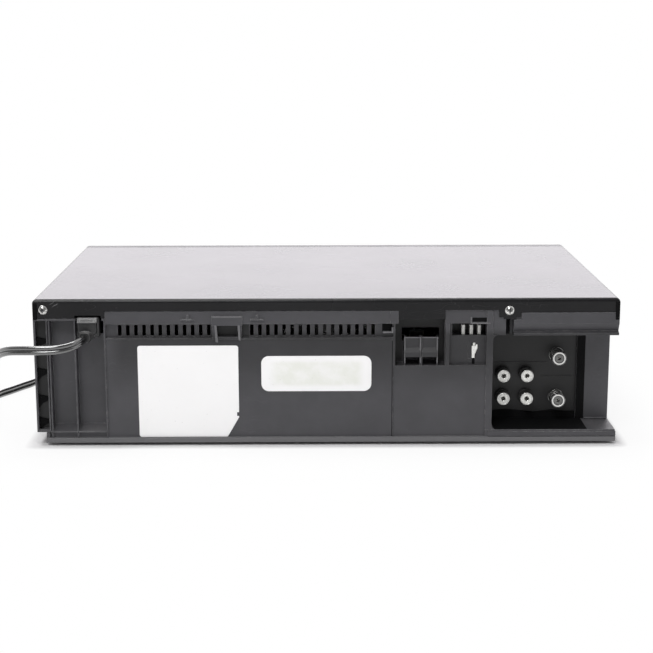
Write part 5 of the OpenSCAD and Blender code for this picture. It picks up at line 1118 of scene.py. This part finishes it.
class RECORDER_OT_boards(bpy.types.Operator):
    """Make the resistors, the wound coil of the transformer, the flat cables and the wires inside the case"""
    bl_idname = "recorder.boards"
    bl_label = "Board parts and wiring"

    def execute(self, context):
        sizes = context.scene.recorder_inside
        half = sizes.resistor / 2 / MM
        body = turned([(0.3, -half), (0.85, 0.1 - half), (0.95, 0.5 - half), (0.75, 0.9 - half), (0.75, half - 0.9),
                       (0.95, half - 0.5), (0.85, half - 0.1), (0.3, half)], 10, "X")
        legs = [turned([(0.28, s * half - 0.9), (0.28, s * half + 0.9)], 6, "X") for s in (-1, 1)]
        legs += [placed(turned([(0.28, -1.25), (0.28, 0.2)], 6, "Z"), at=(s * (half + 0.7), 0, 0)) for s in (-1, 1)]
        fields = ((24, 12, -172, 8.5, -89, 5.5), (28, 14, -60, 9, 70, 5), (15, 5, -104, 8, -52, 7))
        places = np.array([[x + dx * (i % per_row), y + dy * (i // per_row), BOARD_TOP + 1.15]
                           for count, per_row, x, dx, y, dy in fields for i in range(count)])
        turns = np.where(np.arange(len(places)) % 5 == 2, TAU / 4, 0.0)
        piece("resistors", repeated(body, places, turns), "resistor_tan", slot="white_plastic")
        piece("resistor_legs", repeated(joined(legs), places, turns), "zinc_steel")
        ridged = 8.83 + 0.14 * np.abs(np.sin(np.arange(73) * math.pi / 4))
        winding = turned(np.column_stack([ridged, np.linspace(19.7, 37.5, 73)]), 64, "Z")
        piece("transformer_winding", placed(winding, at=(158, 36, 0)), "copper_winding", slot="ferrite")
        w = sizes.ribbon / 2 / MM
        tape = np.array([(-w, -0.25), (0.2 - w, -0.3), (w - 0.2, -0.3), (w, -0.25), (w, 0.25), (w - 0.2, 0.3),
                         (0.2 - w, 0.3), (-w, 0.25)])
        ways = [[(-75, -103.5, 22), (-75, -99, 23.5), (-75, -93, 22.6), (-75, -87, 18), (-75, -84, 13),
                 (-75, -83.6, BOARD_TOP)],
                [(118, -101.4, 30), (118, -96, 31), (118, -90, 27), (118, -85, 20), (118, -82, 14),
                 (118, -81.6, BOARD_TOP)],
                [(-130, -101.4, 60), (-130, -96, 61), (-130, -91, 55), (-131, -86, 38), (-132, -80, 20),
                 (-132, -77, 13), (-132, -76.6, BOARD_TOP)]]
        tapes = [swept(smooth_path(way, 6), tape, up=(0, 1, 0.35)) for way in ways]
        piece("flat_cables", joined(tapes), "ribbon_grey", slot="white_plastic")
        ends = [bar(x - w - 1, x + w + 1, y - 2, y + 2, 10.5, 14.2, 0.3) for x, y, _ in (way[-1] for way in ways)]
        piece("cable_sockets", joined(ends), "white_plastic")
        wires = {"wire_red": [(148, 30, 24), (140, 26, 25), (133, 16, 19), (129, 6, 13), (128.6, 4, BOARD_TOP)],
                 "wire_white": [(148, 36, 30), (138, 38, 33), (130, 34, 24), (125, 28, 14), (124.6, 27, BOARD_TOP)],
                 "wire_black": [(148, 42, 26), (139, 46, 28), (131, 50, 20), (126, 53, 13), (125.8, 53.4, BOARD_TOP)]}
        for name, way in wires.items():
            wire = swept(smooth_path(way, 8), circle(sizes.wire / MM, 10), up=(0.2, 0.3, 1))
            piece(name, wire, name, slot="cord_vinyl")
        return {"FINISHED"}


class RECORDER_OT_transport(bpy.types.Operator):
    """Make the wound door spring, the round-cornered belt and the idler's tyre"""
    bl_idname = "recorder.transport"
    bl_label = "Transport details"

    def execute(self, context):
        start, r, pitch, steps = np.array([87.2, -110.5, 84.4]), 1.68, 1.05, 28
        turn = np.arange(5 * steps + 1) / steps
        angle = TAU / 4 + TAU * turn
        wound = start + np.stack([pitch * turn, -r * np.sin(angle), -r * np.cos(angle)], 1)
        legs = [(0, -r, -6.0), (0, -r, -4.0), (0, -r, -2.0)], [(5 * pitch, -r, 0.8), (5 * pitch, -r, 1.5)]
        path = np.vstack([start + legs[0], wound, start + legs[1]])
        piece("wound_spring", swept(path, circle(0.25, 10), up=(1, 0.02, 0)), "zinc_steel", "door",
              replaces=("door_spring",))
        a, b, radius, height = np.array([0.0, -66.0]), np.array([62.0, 38.0]), 6.5, 26.3
        half = np.linspace(math.pi / 2, 3 * math.pi / 2, 33) + math.atan2(*(b - a)[::-1])
        arc = radius * np.stack([np.cos(half), np.sin(half)], 1)
        ring = np.vstack([a + arc, b - arc])
        along = np.roll(ring, -1, 0) - np.roll(ring, 1, 0)
        out = np.stack([along[:, 1], -along[:, 0]], 1) / np.linalg.norm(along, axis=1)[:, None]
        out *= np.sign(((ring - (a + b) / 2) * out).sum(1).mean())
        cut = section(0.78, 1.58, 0.2, 0.0, 4)
        rows = np.concatenate([ring[:, None] + cut[:, :1] * out[:, None],
                               np.broadcast_to(height + cut[:, 1:], (len(ring), len(cut), 1))], 2)
        piece("round_belt", skin(rows, looped=True), "belt_rubber", replaces=("drive_belt",))
        tread = [(11.2, 33.6), (12.1, 33.6), (12.3, 34.1), (12.3, 38.3), (12.1, 38.8), (11.2, 38.8)]
        piece("idler_tyre", placed(turned(tread, 64, "Z", True), at=(0, -46, 0)), "belt_rubber", "idler_arm")
        return {"FINISHED"}


class RECORDER_OT_stage(bpy.types.Operator):
    """Make the pale floor, the plain world and the soft lamps"""
    bl_idname = "recorder.stage"
    bl_label = "Floor and light"

    def execute(self, context):
        settings = context.scene.recorder_stage
        mesh = bpy.data.meshes.new("floor")
        mesh.from_pydata([(-6, -8, 0), (6, -8, 0), (6, 6, 0), (-6, 6, 0)], [], [(0, 1, 2, 3)])
        floor = bpy.data.objects.new("floor", mesh)
        context.scene.collection.objects.link(floor)
        look = Look("floor_pale")
        look.tone(look.effect("grain", scale=300.0, mottle_scale=8.0)[1], settings.floor, 1.0, 1.01)
        look.set(Base_Color=look.base, Roughness=0.95, Specular_IOR_Level=0.0)
        x, y, _ = look.split()
        away_x, away_y = ((abs(v) - half).larger() ** 2.0 for v, half in zip((x, y), CASE_HALF))
        away = (away_x + away_y).root()
        near = away.fall(0.002, 0.011).larger(away.rise(0.008, 0.09, 0.12, 0.0))
        seen = look.backdrop_rays().larger(look.get("ShaderNodeLightPath", output="Is Glossy Ray"))
        white = look.get("ShaderNodeEmission", {"Color": (1.0, 1.0, 1.0, 1.0), "Strength": 1.0})
        shaded = Value(look, look.shader.outputs[0])
        look.join(look.surface, look.get("ShaderNodeMixShader", {0: seen * (1.0 - near), 1: shaded, 2: white}))
        mesh.materials.append(FINISHES["floor_pale"])

        context.scene.world = bpy.data.worlds.new("studio")
        context.scene.world.use_nodes = True
        sky = Nodes(context.scene.world.node_tree)
        sky.tree.nodes.clear()
        way = sky.split(sky.get("ShaderNodeTexCoord", output="Generated"))
        behind = way[1].rise(0.05, 0.35, 1.0, settings.room)
        level = sky.get("ShaderNodeMix", {0: sky.backdrop_rays(), 2: settings.sky, 3: 1.0})
        glossy = sky.get("ShaderNodeLightPath", output="Is Glossy Ray")
        level = sky.get("ShaderNodeMix", {0: glossy, 2: level, 3: behind})
        sky.add("ShaderNodeOutputWorld", {0: sky.get("ShaderNodeBackground", {"Color": (1.0, 1.0, 1.0, 1.0),
                                                                              "Strength": level})})

        white_light, tinted = (1, 1, 1), (0.985, 0.94, 1.0)
        for name, power, place, aim, shape, size, tint in (
                ("lamp_key", settings.key, (0.35, 1.3, 1.65), (0, 0.1, 0.05), "DISK", (0.75, 0.75), white_light),
                ("lamp_top", settings.top, (0.2, -0.2, 1.9), (0, 0, 0.05), "RECTANGLE", (1.5, 0.4), white_light),
                ("lamp_back", settings.back, (0, -3.0, 1.12), (0, 0, 1.12), "RECTANGLE", (4.0, 1.4), tinted)):
            lamp = bpy.data.lights.new(name, "AREA")
            lamp.shape, lamp.energy, lamp.color = shape, power, tint
            lamp.size, lamp.size_y = size
            made = bpy.data.objects.new(name, lamp)
            context.scene.collection.objects.link(made)
            turn = (Vector(place) - Vector(aim)).to_track_quat("Z", "Y").to_matrix().to_4x4()
            made.matrix_world = Matrix.Translation(place) @ turn
        context.scene.view_settings.view_transform = "Standard"
        return {"FINISHED"}


class RECORDER_PT_pieces(bpy.types.Panel):
    """Lists the recorder's operators and the settings that they read"""
    bl_idname = "RECORDER_PT_pieces"
    bl_label = "Recorder"
    bl_space_type = "VIEW_3D"
    bl_region_type = "UI"
    bl_category = "Recorder"

    def draw(self, context):
        for operator in OPERATORS:
            self.layout.operator(operator.bl_idname)
        for name, kind in SETTINGS.items():
            box = self.layout.box()
            for setting in kind.__annotations__:
                box.prop(getattr(context.scene, name), setting)


SETTINGS = {"recorder_cord": RecorderCordSizes, "recorder_front": RecorderFrontSizes,
            "recorder_inside": RecorderInsideSizes, "recorder_colours": RecorderColours,
            "recorder_stage": RecorderStageSettings}
OPERATORS = (RECORDER_OT_camera, RECORDER_OT_finishes, RECORDER_OT_cord, RECORDER_OT_strain_relief,
             RECORDER_OT_jacks, RECORDER_OT_recess, RECORDER_OT_rear_trim, RECORDER_OT_keys, RECORDER_OT_front,
             RECORDER_OT_boards, RECORDER_OT_transport, RECORDER_OT_stage)


def register():
    for kind in tuple(SETTINGS.values()) + OPERATORS + (RECORDER_PT_pieces,):
        bpy.utils.register_class(kind)
    for name, kind in SETTINGS.items():
        setattr(bpy.types.Scene, name, PointerProperty(type=kind))


def unregister():
    for name in SETTINGS:
        delattr(bpy.types.Scene, name)
    for kind in (RECORDER_PT_pieces,) + OPERATORS[::-1] + tuple(SETTINGS.values())[::-1]:
        bpy.utils.unregister_class(kind)


def main():
    register()
    for operator in OPERATORS:
        getattr(bpy.ops.recorder, operator.bl_idname.split(".")[1])()


if __name__ == "__main__":
    main()
